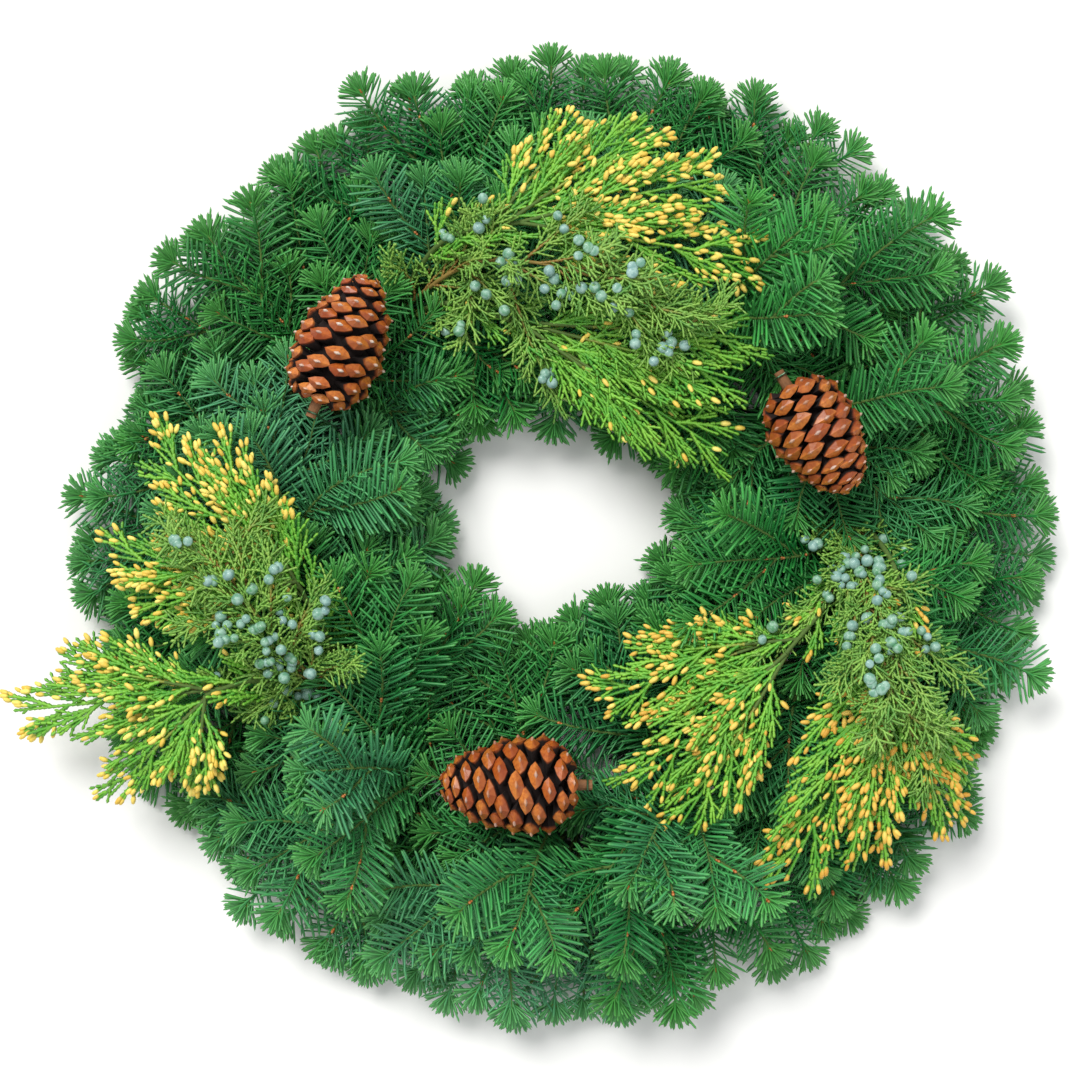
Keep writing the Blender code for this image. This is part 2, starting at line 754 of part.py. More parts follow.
def sprig(curve, straight, whorls, seed):
    """A stem with whorls of needles back from its tip; straight is the length of its root in the clamp."""
    length = polyline_length(curve)
    from_tip = [BUD_LENGTH]
    for whorl in range(whorls):
        start = BUD_LENGTH + WHORL_SPACING * whorl
        from_tip += [start + WHORL_LENGTH, start + WHORL_SPACING]
    from_tip.pop()
    bare = length - from_tip[-1]
    station = straight + (bare - straight) * BARE_STATION
    bare_stops = [0, straight, station] if straight else [0, station]
    path = spaced(curve, bare_stops + [length - d for d in reversed(from_tip)] + [length])
    rings = len(path) - 1
    radii = [ROOT_RADIUS + (SPRIG_TIP_RADIUS - ROOT_RADIUS) * j / (rings - 1) for j in range(rings)]
    spikes = [0] * len(bare_stops) + [NEEDLE_LENGTH, 0] * whorls
    spikes[-1] = END_NEEDLE_LENGTH
    return Stem(path, radii, spikes, NEEDLE_PITCH, flatten=NEEDLE_FLATTEN, seed=seed)


def bunch(kind, name, lane, clamp, targets):
    """A main sprig and its side sprigs, from each one's tip, and direction there."""
    stems = []
    gate = ring_point(lane, clamp - ROOT_AFTER, LOW_LEVEL)
    for slot, (tip, ahead) in enumerate(targets):
        share = covered_share(kind, gate, tip)
        tip.z *= share
        whorls = WHORLS[kind] if share == 1 else COVERED_WHORLS[kind]
        if slot:
            curve = side_curve(main, FIRST_FORK[kind], slot, tip, ahead, RISE[kind] * share)
            stems.append(sprig(curve, 0, whorls, f"{name}-{slot}"))
        else:
            main = main_curve(lane, clamp, tip, ahead, RISE[kind] * share)
            stems.append(sprig(main, (main[1] - main[0]).length, whorls, f"{name}-{slot}"))
    return stems


def tip_draw(name, slot):
    """Seeded changes to a tip's distance, height and turn."""
    draw = random.Random(f"{name}-{slot}-tip")
    ranges = (TIP_RADIUS_DRAW, TIP_HEIGHT_DRAW, TIP_TURN_DRAW)
    return [draw.uniform(-most, most) for most in ranges]


def fir_bunches():
    """Every bunch's stems, by node name."""
    bunches = {}
    for index in range(CLAMP_COUNT):
        clamp = clamp_angle(index)
        for kind, (lane, sprigs) in BUNCHES.items():
            name = f"fir_{kind}_{index + 1:02d}"
            targets = []
            for slot, (radius, height, turn, lean, slope) in enumerate(sprigs):
                further, higher, around = tip_draw(name, slot)
                angle = clamp - turn + around
                tip = ring_point((radius + further) * MM, angle, (height + higher) * MM)
                targets.append((tip, sloped(outward(angle - lean), slope)))
            bunches[name] = bunch(kind, name, lane * MM, clamp, targets)
        name = f"fir_inner_{index + 1:02d}"
        targets = []
        for slot, (outside, height, turn, lean, slope) in enumerate(INNER_SPRIGS[: 2 - index % 2]):
            further, higher, around = tip_draw(name, slot)
            edge = hole_edge(clamp - turn + around)
            out = (edge - HOLE_MIDDLE).normalized()
            tip = edge + out * (outside + further) * MM + UP * (height + higher) * MM
            targets.append((tip, sloped(Matrix.Rotation(math.radians(lean), 3, "Z") @ -out, slope)))
        bunches[name] = bunch("inner", name, INNER_LANE * MM, clamp, targets)
    return bunches


# ---- layout of the sprays --------------------------------------------------------------------------------


def spray_line(clamp_index, lane, points):
    """A spray's stem: straight through its clamp, then a smooth curve; and the length of the straight root."""
    clamp = clamp_angle(clamp_index)
    start = ring_point(lane * MM, clamp + ROOT_BEFORE, HIGH_LEVEL)
    gate = ring_point(lane * MM, clamp - SPRAY_ROOT_AFTER, HIGH_LEVEL)
    points = [Vector(p) * MM for p in points]
    return [start, *through([gate, *points], SPRAY_STEPS)], (gate - start).length


def bearing_stops(length, bare, bearing, count):
    """Distances of the rings of count bearing stretches, each with a bare one after it, and of the tip."""
    step = (length - bare) / count
    stops = []
    for j in range(count):
        stops += [bare + step * j, bare + step * j + bearing]
    return stops + [length]


def tapered(radius, taper, path):
    return [radius - taper * j for j in range(len(path) - 1)]


def cedar_stems(name):
    """A bare stem and its fronds: flat, with cords to both sides that fork."""
    clamp, lane, points, tips = CEDARS[name]
    root, straight = spray_line(clamp, lane, points)
    bare = polyline_length(root) - straight
    path = spaced(root, [0] + [straight + bare * j / CEDAR_STATIONS for j in range(CEDAR_STATIONS + 1)])
    stems = [Stem(path, tapered(CEDAR_RADIUS, STEM_TAPER, path), [0] * (len(path) - 1), 0, seed=name)]
    for slot, tip in enumerate(tips):
        tip = Vector(tip) * MM
        fork = root[-CEDAR_FORKS[slot]]
        middle = fork.lerp(tip, 0.5) + UP * FROND_BOW
        line = through([fork, middle, tip], SPRAY_STEPS)
        length = polyline_length(line)
        path = spaced(line, [0] + bearing_stops(length, length * FROND_BARE, CORD_BASE, CEDAR_PAIRS))
        longest = CORD_LENGTH_SHARE * length + CORD_LENGTH_MORE
        lengths = [0]
        for j in range(CEDAR_PAIRS):
            share = j / (CEDAR_PAIRS - 1)
            bulge = CORD_BULGE[0] + (CORD_BULGE[1] - CORD_BULGE[0]) * share
            lengths += [longest * math.sin(math.pi * bulge), 0]
        lengths[-1] = CORD_END
        flat = ((tip - fork).cross(UP)).cross(tip - fork).normalized()
        radii = tapered(FROND_RADIUS, FROND_TAPER, path)
        stems.append(Stem(path, radii, lengths, CORD_PITCH, flat=flat, forks=CORD_FORKS, seed=f"{name}-{slot}"))
    return stems


def juniper_stems(name):
    """A main stem and a side stem, with forking twigs on every side."""
    clamp, lane, points = JUNIPERS[name]
    line, straight = spray_line(clamp, lane, points)
    length = polyline_length(line)
    bare = length * JUNIPER_BARE
    bearing = bearing_stops(length, bare, TWIG_BASE, len(TWIG_LENGTHS) - 1)
    path = spaced(line, [0, straight, (straight + bare) / 2] + bearing)
    stems = [juniper_stem(path, 3, JUNIPER_RADIUS, TWIG_LENGTHS, name)]
    fork, after = spaced(line, [length * share for share in JUNIPER_FORK])
    ahead = (after - fork).normalized()
    way = (ahead + UP.cross(ahead) * JUNIPER_SIDE_LEAN).normalized() * JUNIPER_SIDE
    side = [fork, fork + way, fork + way * 1.5 + ahead * JUNIPER_SIDE * 0.4]
    bearing = bearing_stops(polyline_length(side), JUNIPER_SIDE * 0.4, TWIG_BASE, len(SIDE_TWIG_LENGTHS) - 1)
    path = spaced(side, [0] + bearing)
    stems.append(juniper_stem(path, 1, JUNIPER_SIDE_RADIUS, SIDE_TWIG_LENGTHS, name + "-side"))
    return stems


def juniper_stem(path, bare_rings, radius, twig_lengths, seed):
    """bare_rings: how many rings come before the first bearing stretch."""
    spikes = [0] * bare_rings
    for length in twig_lengths[:-1]:
        spikes += [length * MM, 0]
    spikes[-1] = twig_lengths[-1] * MM
    radii = tapered(radius, STEM_TAPER, path)
    return Stem(path, radii, spikes, TWIG_PITCH, flatten=TWIG_FLATTEN, forks=TWIG_FORKS, seed=seed)


def berries(name, stems, collection, obstacles):
    """Round berries threaded on the twigs."""
    draw = random.Random(name + "-berries")
    twigs = [twig for stem in stems for twig in stem.drawn]
    draw.shuffle(twigs)
    made = []
    for j, (base, end) in enumerate(twigs):
        middle = base.lerp(end, draw.uniform(*BERRY_PLACE))
        bm = bmesh.new()
        bmesh.ops.create_icosphere(bm, subdivisions=1, radius=BERRY_RADIUS, matrix=Matrix.Translation(middle))
        sphere = BVHTree.FromBMesh(bm)
        apart = all((middle - other).length > BERRY_RADIUS * BERRY_APART for other, _ in made)
        if len(made) < BERRIES and apart and not any(sphere.overlap(tree) for tree in obstacles):
            made.append((middle, object_from(f"{name}_berry_{j}", bm, collection)))
        else:
            bm.free()
    return [obj for _, obj in made]


# ---- assembly --------------------------------------------------------------------------------------------


def core_tree(stems, extra):
    vertices, faces = [], []
    for stem in stems:
        offset = len(vertices)
        more, sides = stem.core(extra)
        vertices += more
        faces += [[offset + i for i in face] for face in sides]
    return BVHTree.FromPolygons(vertices, faces)


def main():
    for obj in list(bpy.data.objects):
        bpy.data.objects.remove(obj)
    wreath = bpy.data.collections.new("evergreen_wreath")
    bpy.context.scene.collection.children.link(wreath)

    solids = [build_ring(wreath)]
    for name in CONES:
        solids.append(build_cone(name, wreath))
        solids.append(build_wire(name, wreath))
    fixed = tree_of(solids)

    plan = {name: juniper_stems(name) for name in JUNIPERS}
    plan.update({name: cedar_stems(name) for name in CEDARS})
    plan.update(fir_bunches())
    cores = {name: core_tree(stems, GAP) for name, stems in plan.items()}

    finished = []
    for name, stems in plan.items():
        obstacles = [fixed, *finished] + [tree for other, tree in cores.items() if other != name]
        siblings = []
        repeats = []
        for j, stem in enumerate(stems):
            others = [core_tree([other], GAP) for other in stems if other is not stem]
            repeats.append(stem.grow(f"{name}_{j}", wreath, obstacles + others, siblings))
        if name in JUNIPERS:
            repeats += berries(name, stems, wreath, obstacles)
        node = join_repeats(name, repeats, wreath)
        if name in JUNIPERS:
            paint(node, (0.2, 0.3, 0.08), 0.55)
        elif name in CEDARS:
            paint(node, (0.14, 0.36, 0.05), 0.55)
        else:
            paint(node, FIR_COLOURS[len(finished) % len(FIR_COLOURS)], 0.5)
        finished.append(tree_of([node]))
        solids.append(node)

    for obj in solids:
        obj.location = RING_MIDDLE


main()
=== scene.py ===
import math
import random

import bmesh
import bpy
from mathutils import Matrix, Vector
from mathutils.geometry import interpolate_bezier


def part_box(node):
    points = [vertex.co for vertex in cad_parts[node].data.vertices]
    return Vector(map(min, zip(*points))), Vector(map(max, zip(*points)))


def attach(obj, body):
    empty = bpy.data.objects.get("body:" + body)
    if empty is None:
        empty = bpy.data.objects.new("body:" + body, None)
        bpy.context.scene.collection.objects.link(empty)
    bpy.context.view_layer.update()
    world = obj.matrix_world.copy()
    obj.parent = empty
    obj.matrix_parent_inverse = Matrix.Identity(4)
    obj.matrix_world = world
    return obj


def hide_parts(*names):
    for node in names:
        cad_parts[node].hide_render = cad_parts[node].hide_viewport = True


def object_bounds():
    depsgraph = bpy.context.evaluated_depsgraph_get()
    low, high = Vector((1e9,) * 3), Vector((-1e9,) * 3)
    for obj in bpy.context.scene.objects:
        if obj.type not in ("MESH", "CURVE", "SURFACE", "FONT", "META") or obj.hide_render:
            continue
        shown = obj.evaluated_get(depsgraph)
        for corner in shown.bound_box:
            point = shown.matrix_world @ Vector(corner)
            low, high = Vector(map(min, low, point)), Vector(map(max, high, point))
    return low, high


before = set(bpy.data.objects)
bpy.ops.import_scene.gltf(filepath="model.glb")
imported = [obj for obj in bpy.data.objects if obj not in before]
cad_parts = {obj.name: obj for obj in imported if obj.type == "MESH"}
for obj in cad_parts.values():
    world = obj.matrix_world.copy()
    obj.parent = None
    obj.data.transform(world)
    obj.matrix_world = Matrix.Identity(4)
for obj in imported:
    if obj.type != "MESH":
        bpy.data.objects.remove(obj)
cadLow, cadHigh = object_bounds()
ringLow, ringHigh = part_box("ring_frame")
ringMiddle = Vector(((ringLow.x + ringHigh.x) / 2, (ringLow.y + ringHigh.y) / 2, 0))
print("frame loaded, ring middle at", tuple(round(v, 4) for v in ringMiddle))

mm = 0.001
up = Vector((0, 0, 1))
goldenAngle = math.pi * (3 - math.sqrt(5))


# colours are given as a paint chart would, 0 to 255, and turned to linear light here
def colour(red, green, blue):
    def linear(value):
        value /= 255
        return value / 12.92 if value <= 0.04045 else ((value + 0.055) / 1.055) ** 2.4
    return (linear(red), linear(green), linear(blue), 1)


# points and directions, from the ring's middle, with angles in degrees
def ringPoint(radius, angle, height):
    turn = math.radians(angle)
    return Vector((radius * math.cos(turn), radius * math.sin(turn), height))


def turned(ahead, across, angle):
    turn = math.radians(angle)
    return ahead * math.cos(turn) + across * math.sin(turn)


def lineLength(points):
    return sum((b - a).length for a, b in zip(points, points[1:]))


# the points at these distances along a line
def spaced(points, stops):
    lengths = [0]
    for a, b in zip(points, points[1:]):
        lengths.append(lengths[-1] + (b - a).length)
    found = []
    for stop in stops:
        j = 1
        while j < len(points) - 1 and lengths[j] < stop:
            j += 1
        found.append(points[j - 1].lerp(points[j], (stop - lengths[j - 1]) / (lengths[j] - lengths[j - 1])))
    return found


# one such point, and the direction of the line there
def forkAt(points, distance, step=mm):
    fork, after = spaced(points, [distance, distance + step])
    return fork, (after - fork).normalized()


def evenly(points, count):
    length = lineLength(points)
    return spaced(points, [length * j / count for j in range(count + 1)])


# a smooth line through the points
def through(points, steps):
    curve = []
    for j, (start, end) in enumerate(zip(points, points[1:])):
        before = points[max(j - 1, 0)]
        after = points[min(j + 2, len(points) - 1)]
        leave, arrive = start + (end - before) / 6, end - (after - start) / 6
        curve += interpolate_bezier(start, leave, arrive, end, steps)[:-1]
    return curve + [points[-1]]


# a line that leaves one way and bends towards another
def bentLine(start, way, towards, length, steps):
    middle = start + way * length * 0.5
    end = start + (way + towards).normalized() * length
    shares = [j / steps for j in range(steps + 1)]
    return [start.lerp(middle, share).lerp(middle.lerp(end, share), share) for share in shares]


# an operator between wires adds its Math node
def mathNode(operation, swapped=False):
    def apply(wire, other):
        return wire.graph.math(operation, *((other, wire) if swapped else (wire, other)))
    return apply


# one class wraps a socket, so that sums read as sums
class Wire:
    def __init__(self, graph, node, output):
        self.graph, self.node, self.output = graph, node, output

    @property
    def socket(self):
        shown = [socket for socket in self.node.outputs if socket.enabled]
        if isinstance(self.output, int):
            return shown[self.output]
        return next(socket for socket in shown if socket.name == self.output)

    __add__ = mathNode("ADD")
    __radd__ = mathNode("ADD", True)
    __sub__ = mathNode("SUBTRACT")
    __rsub__ = mathNode("SUBTRACT", True)
    __mul__ = mathNode("MULTIPLY")
    __rmul__ = mathNode("MULTIPLY", True)
    __truediv__ = mathNode("DIVIDE")
    __lt__ = mathNode("LESS_THAN")
    __gt__ = mathNode("GREATER_THAN")


class Graph:
    def __init__(self, tree):
        self.tree = tree

    # a node by its type, its settings, which are set first, and the values or wires of its sockets
    def add(self, kind, settings=None, values=None, output=0):
        node = self.tree.nodes.new(kind)
        for name, value in (settings or {}).items():
            setattr(node, name, value)
        for name, value in (values or {}).items():
            self.plug(node, name, value)
        return Wire(self, node, output)

    def plug(self, node, name, value):
        shown = [socket for socket in node.inputs if socket.enabled]
        socket = shown[name] if isinstance(name, int) else next(each for each in shown if each.name == name)
        if not isinstance(value, (Wire, list)):
            socket.default_value = value
            return
        for wire in value if isinstance(value, list) else [value]:
            self.tree.links.new(wire.socket, socket)

    def math(self, operation, *values):
        return self.add("ShaderNodeMath", {"operation": operation}, dict(enumerate(values)))

    def vector(self, operation, *values):
        return self.add("ShaderNodeVectorMath", {"operation": operation}, dict(enumerate(values)))

    def scaled(self, vector, by):
        return self.add("ShaderNodeVectorMath", {"operation": "SCALE"}, {0: vector, "Scale": by})

    def sumWay(self, first, *others):
        for other in others:
            first = self.vector("ADD", first, other)
        return self.vector("NORMALIZE", first)

    def xyz(self, x, y, z):
        return self.add("ShaderNodeCombineXYZ", None, {"X": x, "Y": y, "Z": z})

    def smooth(self, value, low, high):
        settings = {"interpolation_type": "SMOOTHSTEP"}
        return self.add("ShaderNodeMapRange", settings, {"Value": value, "From Min": low, "From Max": high})

    # what materials read and mix
    def attribute(self, name):
        return self.add("ShaderNodeAttribute", {"attribute_name": name}, None, "Fac")

    def blend(self, share, low, high):
        low, high = [colour(*paint) if isinstance(paint, tuple) else paint for paint in (low, high)]
        return self.add("ShaderNodeMix", {"data_type": "RGBA"}, {"Factor": share, "A": low, "B": high})

    def noise(self, size, detail=3.0):
        place = self.add("ShaderNodeTexCoord", None, None, "Object")
        values = {"Vector": place, "Scale": 1 / size, "Detail": detail}
        return self.add("ShaderNodeTexNoise", None, values, "Fac")

    def bump(self, height, strength, distance):
        values = {"Height": height, "Strength": strength, "Distance": distance}
        return self.add("ShaderNodeBump", None, values)

    # what geometry trees read, draw and place
    def named(self, name):
        return self.add("GeometryNodeInputNamedAttribute", {"data_type": "FLOAT"}, {"Name": name})

    def stored(self, geometry, name, value, domain="INSTANCE"):
        settings = {"data_type": "FLOAT", "domain": domain}
        values = {"Geometry": geometry, "Name": name, "Value": value}
        return self.add("GeometryNodeStoreNamedAttribute", settings, values)

    def draws(self, low, high, seed, kind="FLOAT"):
        values = {"Min": low, "Max": high, "Seed": seed}
        return self.add("FunctionNodeRandomValue", {"data_type": kind}, values)

    def chance(self, share, seed):
        values = {"Probability": share, "Seed": seed}
        return self.add("FunctionNodeRandomValue", {"data_type": "BOOLEAN"}, values)

    def both(self, first, second):
        return self.add("FunctionNodeBooleanMath", {"operation": "AND"}, {0: first, 1: second})

    def lineEnds(self):
        return self.add("GeometryNodeCurveEndpointSelection", None, {"Start Size": 0, "End Size": 1})

    def aimed(self, ahead, above):
        axes = {"primary_axis": "X", "secondary_axis": "Z"}
        return self.add("FunctionNodeAxesToRotation", axes, {0: ahead, 1: above})

    def placed(self, points, shape, rotation, size, where=None):
        original = {"transform_space": "ORIGINAL"}
        values = {"Points": points, "Rotation": rotation, "Scale": size}
        values["Instance"] = self.add("GeometryNodeObjectInfo", original, {"Object": shape}, "Geometry")
        if where:
            values["Selection"] = where
        return self.add("GeometryNodeInstanceOnPoints", None, values)

    def joined(self, parts):
        return self.add("GeometryNodeJoinGeometry", None, {"Geometry": parts})

    def finished(self, geometry, material, smooth=True):
        real = self.add("GeometryNodeRealizeInstances", None, {"Geometry": geometry})
        shaded = self.add("GeometryNodeSetShadeSmooth", None, {"Geometry": real, "Shade Smooth": smooth})
        return self.add("GeometryNodeSetMaterial", None, {"Geometry": shaded, "Material": material})

    # a round tube along each curve, as thick as its radius attribute
    def tube(self, curves, sides, material):
        values = {"Resolution": sides, "Radius": 1.0}
        circle = self.add("GeometryNodeCurvePrimitiveCircle", {"mode": "RADIUS"}, values)
        values = {"Curve": curves, "Profile Curve": circle, "Scale": self.named("radius"), "Fill Caps": True}
        return self.finished(self.add("GeometryNodeCurveToMesh", None, values), material)


def startTree(name, inputs):
    tree = bpy.data.node_groups.new(name, "GeometryNodeTree")
    tree.interface.new_socket("Lines", in_out="INPUT", socket_type="NodeSocketGeometry")
    for label, (kind, value) in inputs.items():
        socket = tree.interface.new_socket(label, in_out="INPUT", socket_type="NodeSocket" + kind)
        if value is not None:
            socket.default_value = value
    tree.interface.new_socket("Geometry", in_out="OUTPUT", socket_type="NodeSocketGeometry")
    graph = Graph(tree)
    start = tree.nodes.new("NodeGroupInput")
    return graph, lambda label: Wire(graph, start, label)


def finishTree(graph, parts):
    end = graph.tree.nodes.new("NodeGroupOutput")
    graph.tree.links.new(graph.joined(parts).socket, end.inputs[0])
    return graph.tree


def makeMaterial(name, paint):
    material = bpy.data.materials.new(name)
    material.use_nodes = True
    graph = Graph(material.node_tree)
    for socket, value in paint(graph).items():
        graph.plug(material.node_tree.nodes["Principled BSDF"], socket, value)
    return material


# bark and bare wood, streaked from one colour to the other
def woodPaint(dark, light, grain, roughness, strength, depth):
    def paint(graph):
        streaks = graph.noise(grain, 4)
        normal = graph.bump(streaks, strength, depth)
        return {"Base Color": graph.blend(streaks, dark, light), "Roughness": roughness, "Normal": normal}
    return paint


# objects and meshes
def addObject(name, data):
    made = bpy.data.objects.new(name, data)
    bpy.context.scene.collection.objects.link(made)
    return made


def newObject(name, bm, smooth=True):
    mesh = bpy.data.meshes.new(name)
    bm.to_mesh(mesh)
    bm.free()
    for face in mesh.polygons:
        face.use_smooth = smooth
    return addObject(name, mesh)


# the piece that an object's modifiers make, in place of the object
def plainPiece(source, name):
    bpy.context.view_layer.update()
    graph = bpy.context.evaluated_depsgraph_get()
    result = source.evaluated_get(graph)
    mesh = bpy.data.meshes.new_from_object(result, preserve_all_data_layers=True, depsgraph=graph)
    bpy.data.objects.remove(source)
    mesh.name = name
    return addObject(name, mesh)


def applyTree(lines, tree, values, name):
    modifier = lines.modifiers.new("shape", "NODES")
    modifier.node_group = tree
    for item in tree.interface.items_tree:
        if item.item_type == "SOCKET" and item.in_out == "INPUT" and item.name in values:
            modifier[item.identifier] = values[item.name]
    return plainPiece(lines, name)


# lines as a mesh of edges; each line's values go to its points, a pair of them from its start to its end
def linesObject(name, lines):
    points, edges = [], []
    columns = {key: [] for key in lines[0] if key != "points"}
    for line in lines:
        first, count = len(points), len(line["points"])
        points += [ringMiddle + point for point in line["points"]]
        edges += [(first + j, first + j + 1) for j in range(count - 1)]
        for key, column in columns.items():
            start, end = line[key] if isinstance(line[key], tuple) else (line[key], line[key])
            column += [start + (end - start) * j / (count - 1) for j in range(count)]
    mesh = bpy.data.meshes.new(name)
    mesh.from_pydata(points, edges, [])
    for key, column in columns.items():
        mesh.attributes.new(key, "FLOAT", "POINT").data.foreach_set("value", column)
    return addObject(name, mesh)


def joinLoops(bm, loops):
    for low, high in zip(loops, loops[1:]):
        for j in range(len(low)):
            k = (j + 1) % len(low)
            bm.faces.new((low[j], high[j], high[k], low[k]))


def closeTip(bm, loop, tip):
    for j in range(len(loop)):
        bm.faces.new((loop[j], tip, loop[(j + 1) % len(loop)]))


# a needle or scale leaf of unit length is a tube of three sides along X, closed in a tip
# each ring is its place, half width, height above and height below
def leafShape(name, rings, bend):
    bm = bmesh.new()
    along, across = [bm.verts.layers.float.new(layer) for layer in ("along", "across")]
    loops = []
    for place, halfWidth, above, below in rings:
        loop = []
        for turn in (math.tau * j / 3 + math.pi / 2 for j in range(3)):
            wide, high = -math.cos(turn) * halfWidth, math.sin(turn)
            height = bend * place * place + high * (above if high > 0 else below)
            vert = bm.verts.new((place, wide, height))
            vert[along], vert[across] = place, abs(math.cos(turn))
            loop.append(vert)
        loops.append(loop)
    joinLoops(bm, loops)
    above, below = rings[-1][2:]
    tip = bm.verts.new((1, 0, bend + (above - below) * 0.3))
    tip[along], tip[across] = 1, 0.5
    closeTip(bm, loops[-1], tip)
    bmesh.ops.recalc_face_normals(bm, faces=bm.faces)
    return newObject(name, bm)


# buds, pollen cones and berries: each blob is its middle, direction, length and width, in mm
def blobShape(name, blobs, segments, rings):
    bm = bmesh.new()
    along = bm.verts.layers.float.new("along")
    for middle, direction, length, width in blobs:
        middle, direction, length, width = Vector(middle) * mm, Vector(direction), length * mm, width * mm
        turn = direction.to_track_quat("X", "Z").to_matrix().to_4x4()
        poles = Matrix.Rotation(math.pi / 2, 4, "Y")
        place = Matrix.Translation(middle) @ turn @ Matrix.Diagonal((length, width, width, 1)) @ poles
        made = bmesh.ops.create_uvsphere(bm, u_segments=segments, v_segments=rings, radius=0.5, matrix=place)
        for vert in made["verts"]:
            vert[along] = (vert.co - middle).dot(direction.normalized()) / length + 0.5
    return newObject(name, bm)


# fir_outer_01 is dressed by the piece firOuter01
def pieceName(node):
    first, *others = node.split("_")
    return first + "".join(word.capitalize() for word in others)


def fitPiece(piece, node):
    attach(piece, "root")
    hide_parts(node)


# foliage that would pass the floor or the wreath's own size bends back instead
room = {"slack": 0.012, "soft": 0.35, "floor": 0.4 * mm, "bendHeight": 9 * mm, "top": 0.106}


def keepInside(piece):
    extra = [room["slack"] * (cadHigh[axis] - cadLow[axis]) for axis in (0, 1)]
    low = [cadLow[axis] - extra[axis] for axis in (0, 1)]
    high = [cadHigh[axis] + extra[axis] for axis in (0, 1)]
    rise = room["bendHeight"]
    for vert in piece.data.vertices:
        for axis in (0, 1):
            vert.co[axis] = min(max(vert.co[axis], low[axis]), high[axis])
        if vert.co.z < rise:
            vert.co.z = room["floor"] + rise * math.exp((vert.co.z - rise) / rise)
        if vert.co.z > room["top"]:
            vert.co.z = room["top"] + (vert.co.z - room["top"]) * room["soft"]


def keepOffCones(piece):
    for cone in cones.values():
        place = coneMatrix(cone)
        sizes = Vector((cone["radius"], cone["radius"], cone["length"] / 2 + coneShape["clear"])) * mm
        away = place.inverted()
        middle, reach = place.translation, max(sizes)
        for vert in piece.data.vertices:
            if (vert.co - middle).length > reach:
                continue
            local = away @ vert.co
            share = Vector((local.x / sizes.x, local.y / sizes.y, local.z / sizes.z)).length
            if 0.05 < share < 1:
                vert.co = place @ (local / share)


def fitFoliage(piece, node):
    keepOffCones(piece)
    keepInside(piece)
    fitPiece(piece, node)


# the clamps that hold every bunch and spray: angles in degrees, heights in mm
clamps = {
    "count": 12, "firstAngle": 8, "rootBefore": 4.5, "rootAfter": 3.5, "sprayRootAfter": 2.4,
    "lowLevel": 4.2, "highLevel": 8.4, "sprayClamps": (0, 4, 7),
}


def clampAngle(index):
    return clamps["firstAngle"] + 360 / clamps["count"] * index


# a root's cut end, and where it leaves the clamp
def rootEnds(lane, clamp, after, level):
    turns = (clamps["rootBefore"], -clamps[after])
    return [ringPoint(lane * mm, clamp + turn, clamps[level] * mm) for turn in turns]


# ring of two rails with straps across them, whose ends fold over the roots
ringSizes = {
    "railRadii": (165 * mm, 195 * mm), "wireRadius": 1.8 * mm, "railHeight": 3.5 * mm,
    "railSteps": 96, "railSides": 10,
    "strapInner": 156 * mm, "strapOuter": 204 * mm, "strapWidth": 10 * mm, "thickness": 2 * mm,
    "height": 9.2 * mm, "sprayHeight": 13.2 * mm, "prongFold": 21 * mm, "edge": 0.5 * mm,
    "enamel": (34, 62, 44), "worn": (84, 98, 84),
}


def ringPaint(graph):
    wear = graph.smooth(graph.noise(5 * mm, 5), 0.55, 0.72)
    return {
        "Base Color": graph.blend(wear, ringSizes["enamel"], ringSizes["worn"]),
        "Roughness": 0.42 + wear * 0.2, "Metallic": 0.35,
        "Normal": graph.bump(graph.noise(2 * mm), 0.15, 0.2 * mm),
    }


def makeRails():
    sides, steps = ringSizes["railSides"], ringSizes["railSteps"]
    bm = bmesh.new()
    for radius in ringSizes["railRadii"]:
        loops = []
        for turn in (math.tau * j / steps for j in range(steps)):
            loop = []
            for spin in (math.tau * k / sides for k in range(sides)):
                reach = radius + ringSizes["wireRadius"] * math.cos(spin)
                height = ringSizes["railHeight"] + ringSizes["wireRadius"] * math.sin(spin)
                loop.append(bm.verts.new((reach * math.cos(turn), reach * math.sin(turn), height)))
            loops.append(loop)
        joinLoops(bm, loops + loops[:1])
    return newObject("rails", bm)


def makeStraps():
    inner, outer, thick, fold, width = [
        ringSizes[key] for key in ("strapInner", "strapOuter", "thickness", "prongFold", "strapWidth")]
    bm = bmesh.new()
    for index in range(clamps["count"]):
        high = ringSizes["sprayHeight" if index in clamps["sprayClamps"] else "height"]
        outline = (
            (inner, 0), (outer, 0), (outer, high), (outer - fold, high), (outer - fold, high - thick),
            (outer - thick, high - thick), (outer - thick, thick), (inner + thick, thick),
            (inner + thick, high - thick), (inner + fold, high - thick), (inner + fold, high), (inner, high),
        )
        edge = [bm.verts.new((radius, -width / 2, height)) for radius, height in outline]
        swept = bmesh.ops.extrude_face_region(bm, geom=[bm.faces.new(edge)])
        moved = [item for item in swept["geom"] if isinstance(item, bmesh.types.BMVert)]
        bmesh.ops.translate(bm, verts=moved, vec=(0, width, 0))
        turn = Matrix.Rotation(math.radians(clampAngle(index)), 3, "Z")
        bmesh.ops.rotate(bm, verts=edge + moved, matrix=turn)
    bmesh.ops.recalc_face_normals(bm, faces=bm.faces)
    straps = newObject("straps", bm, False)
    bevel = straps.modifiers.new("edges", "BEVEL")
    bevel.width, bevel.segments = ringSizes["edge"], 2
    return straps


def buildRing():
    material = makeMaterial("ringEnamel", ringPaint)
    for part, name in ((makeRails(), "ringRails"), (makeStraps(), "ringStraps")):
        piece = plainPiece(part, name)
        piece.data.transform(Matrix.Translation(ringMiddle))
        piece.data.materials.clear()
        piece.data.materials.append(material)
        fitPiece(piece, "ring_frame")
    print("ring done")


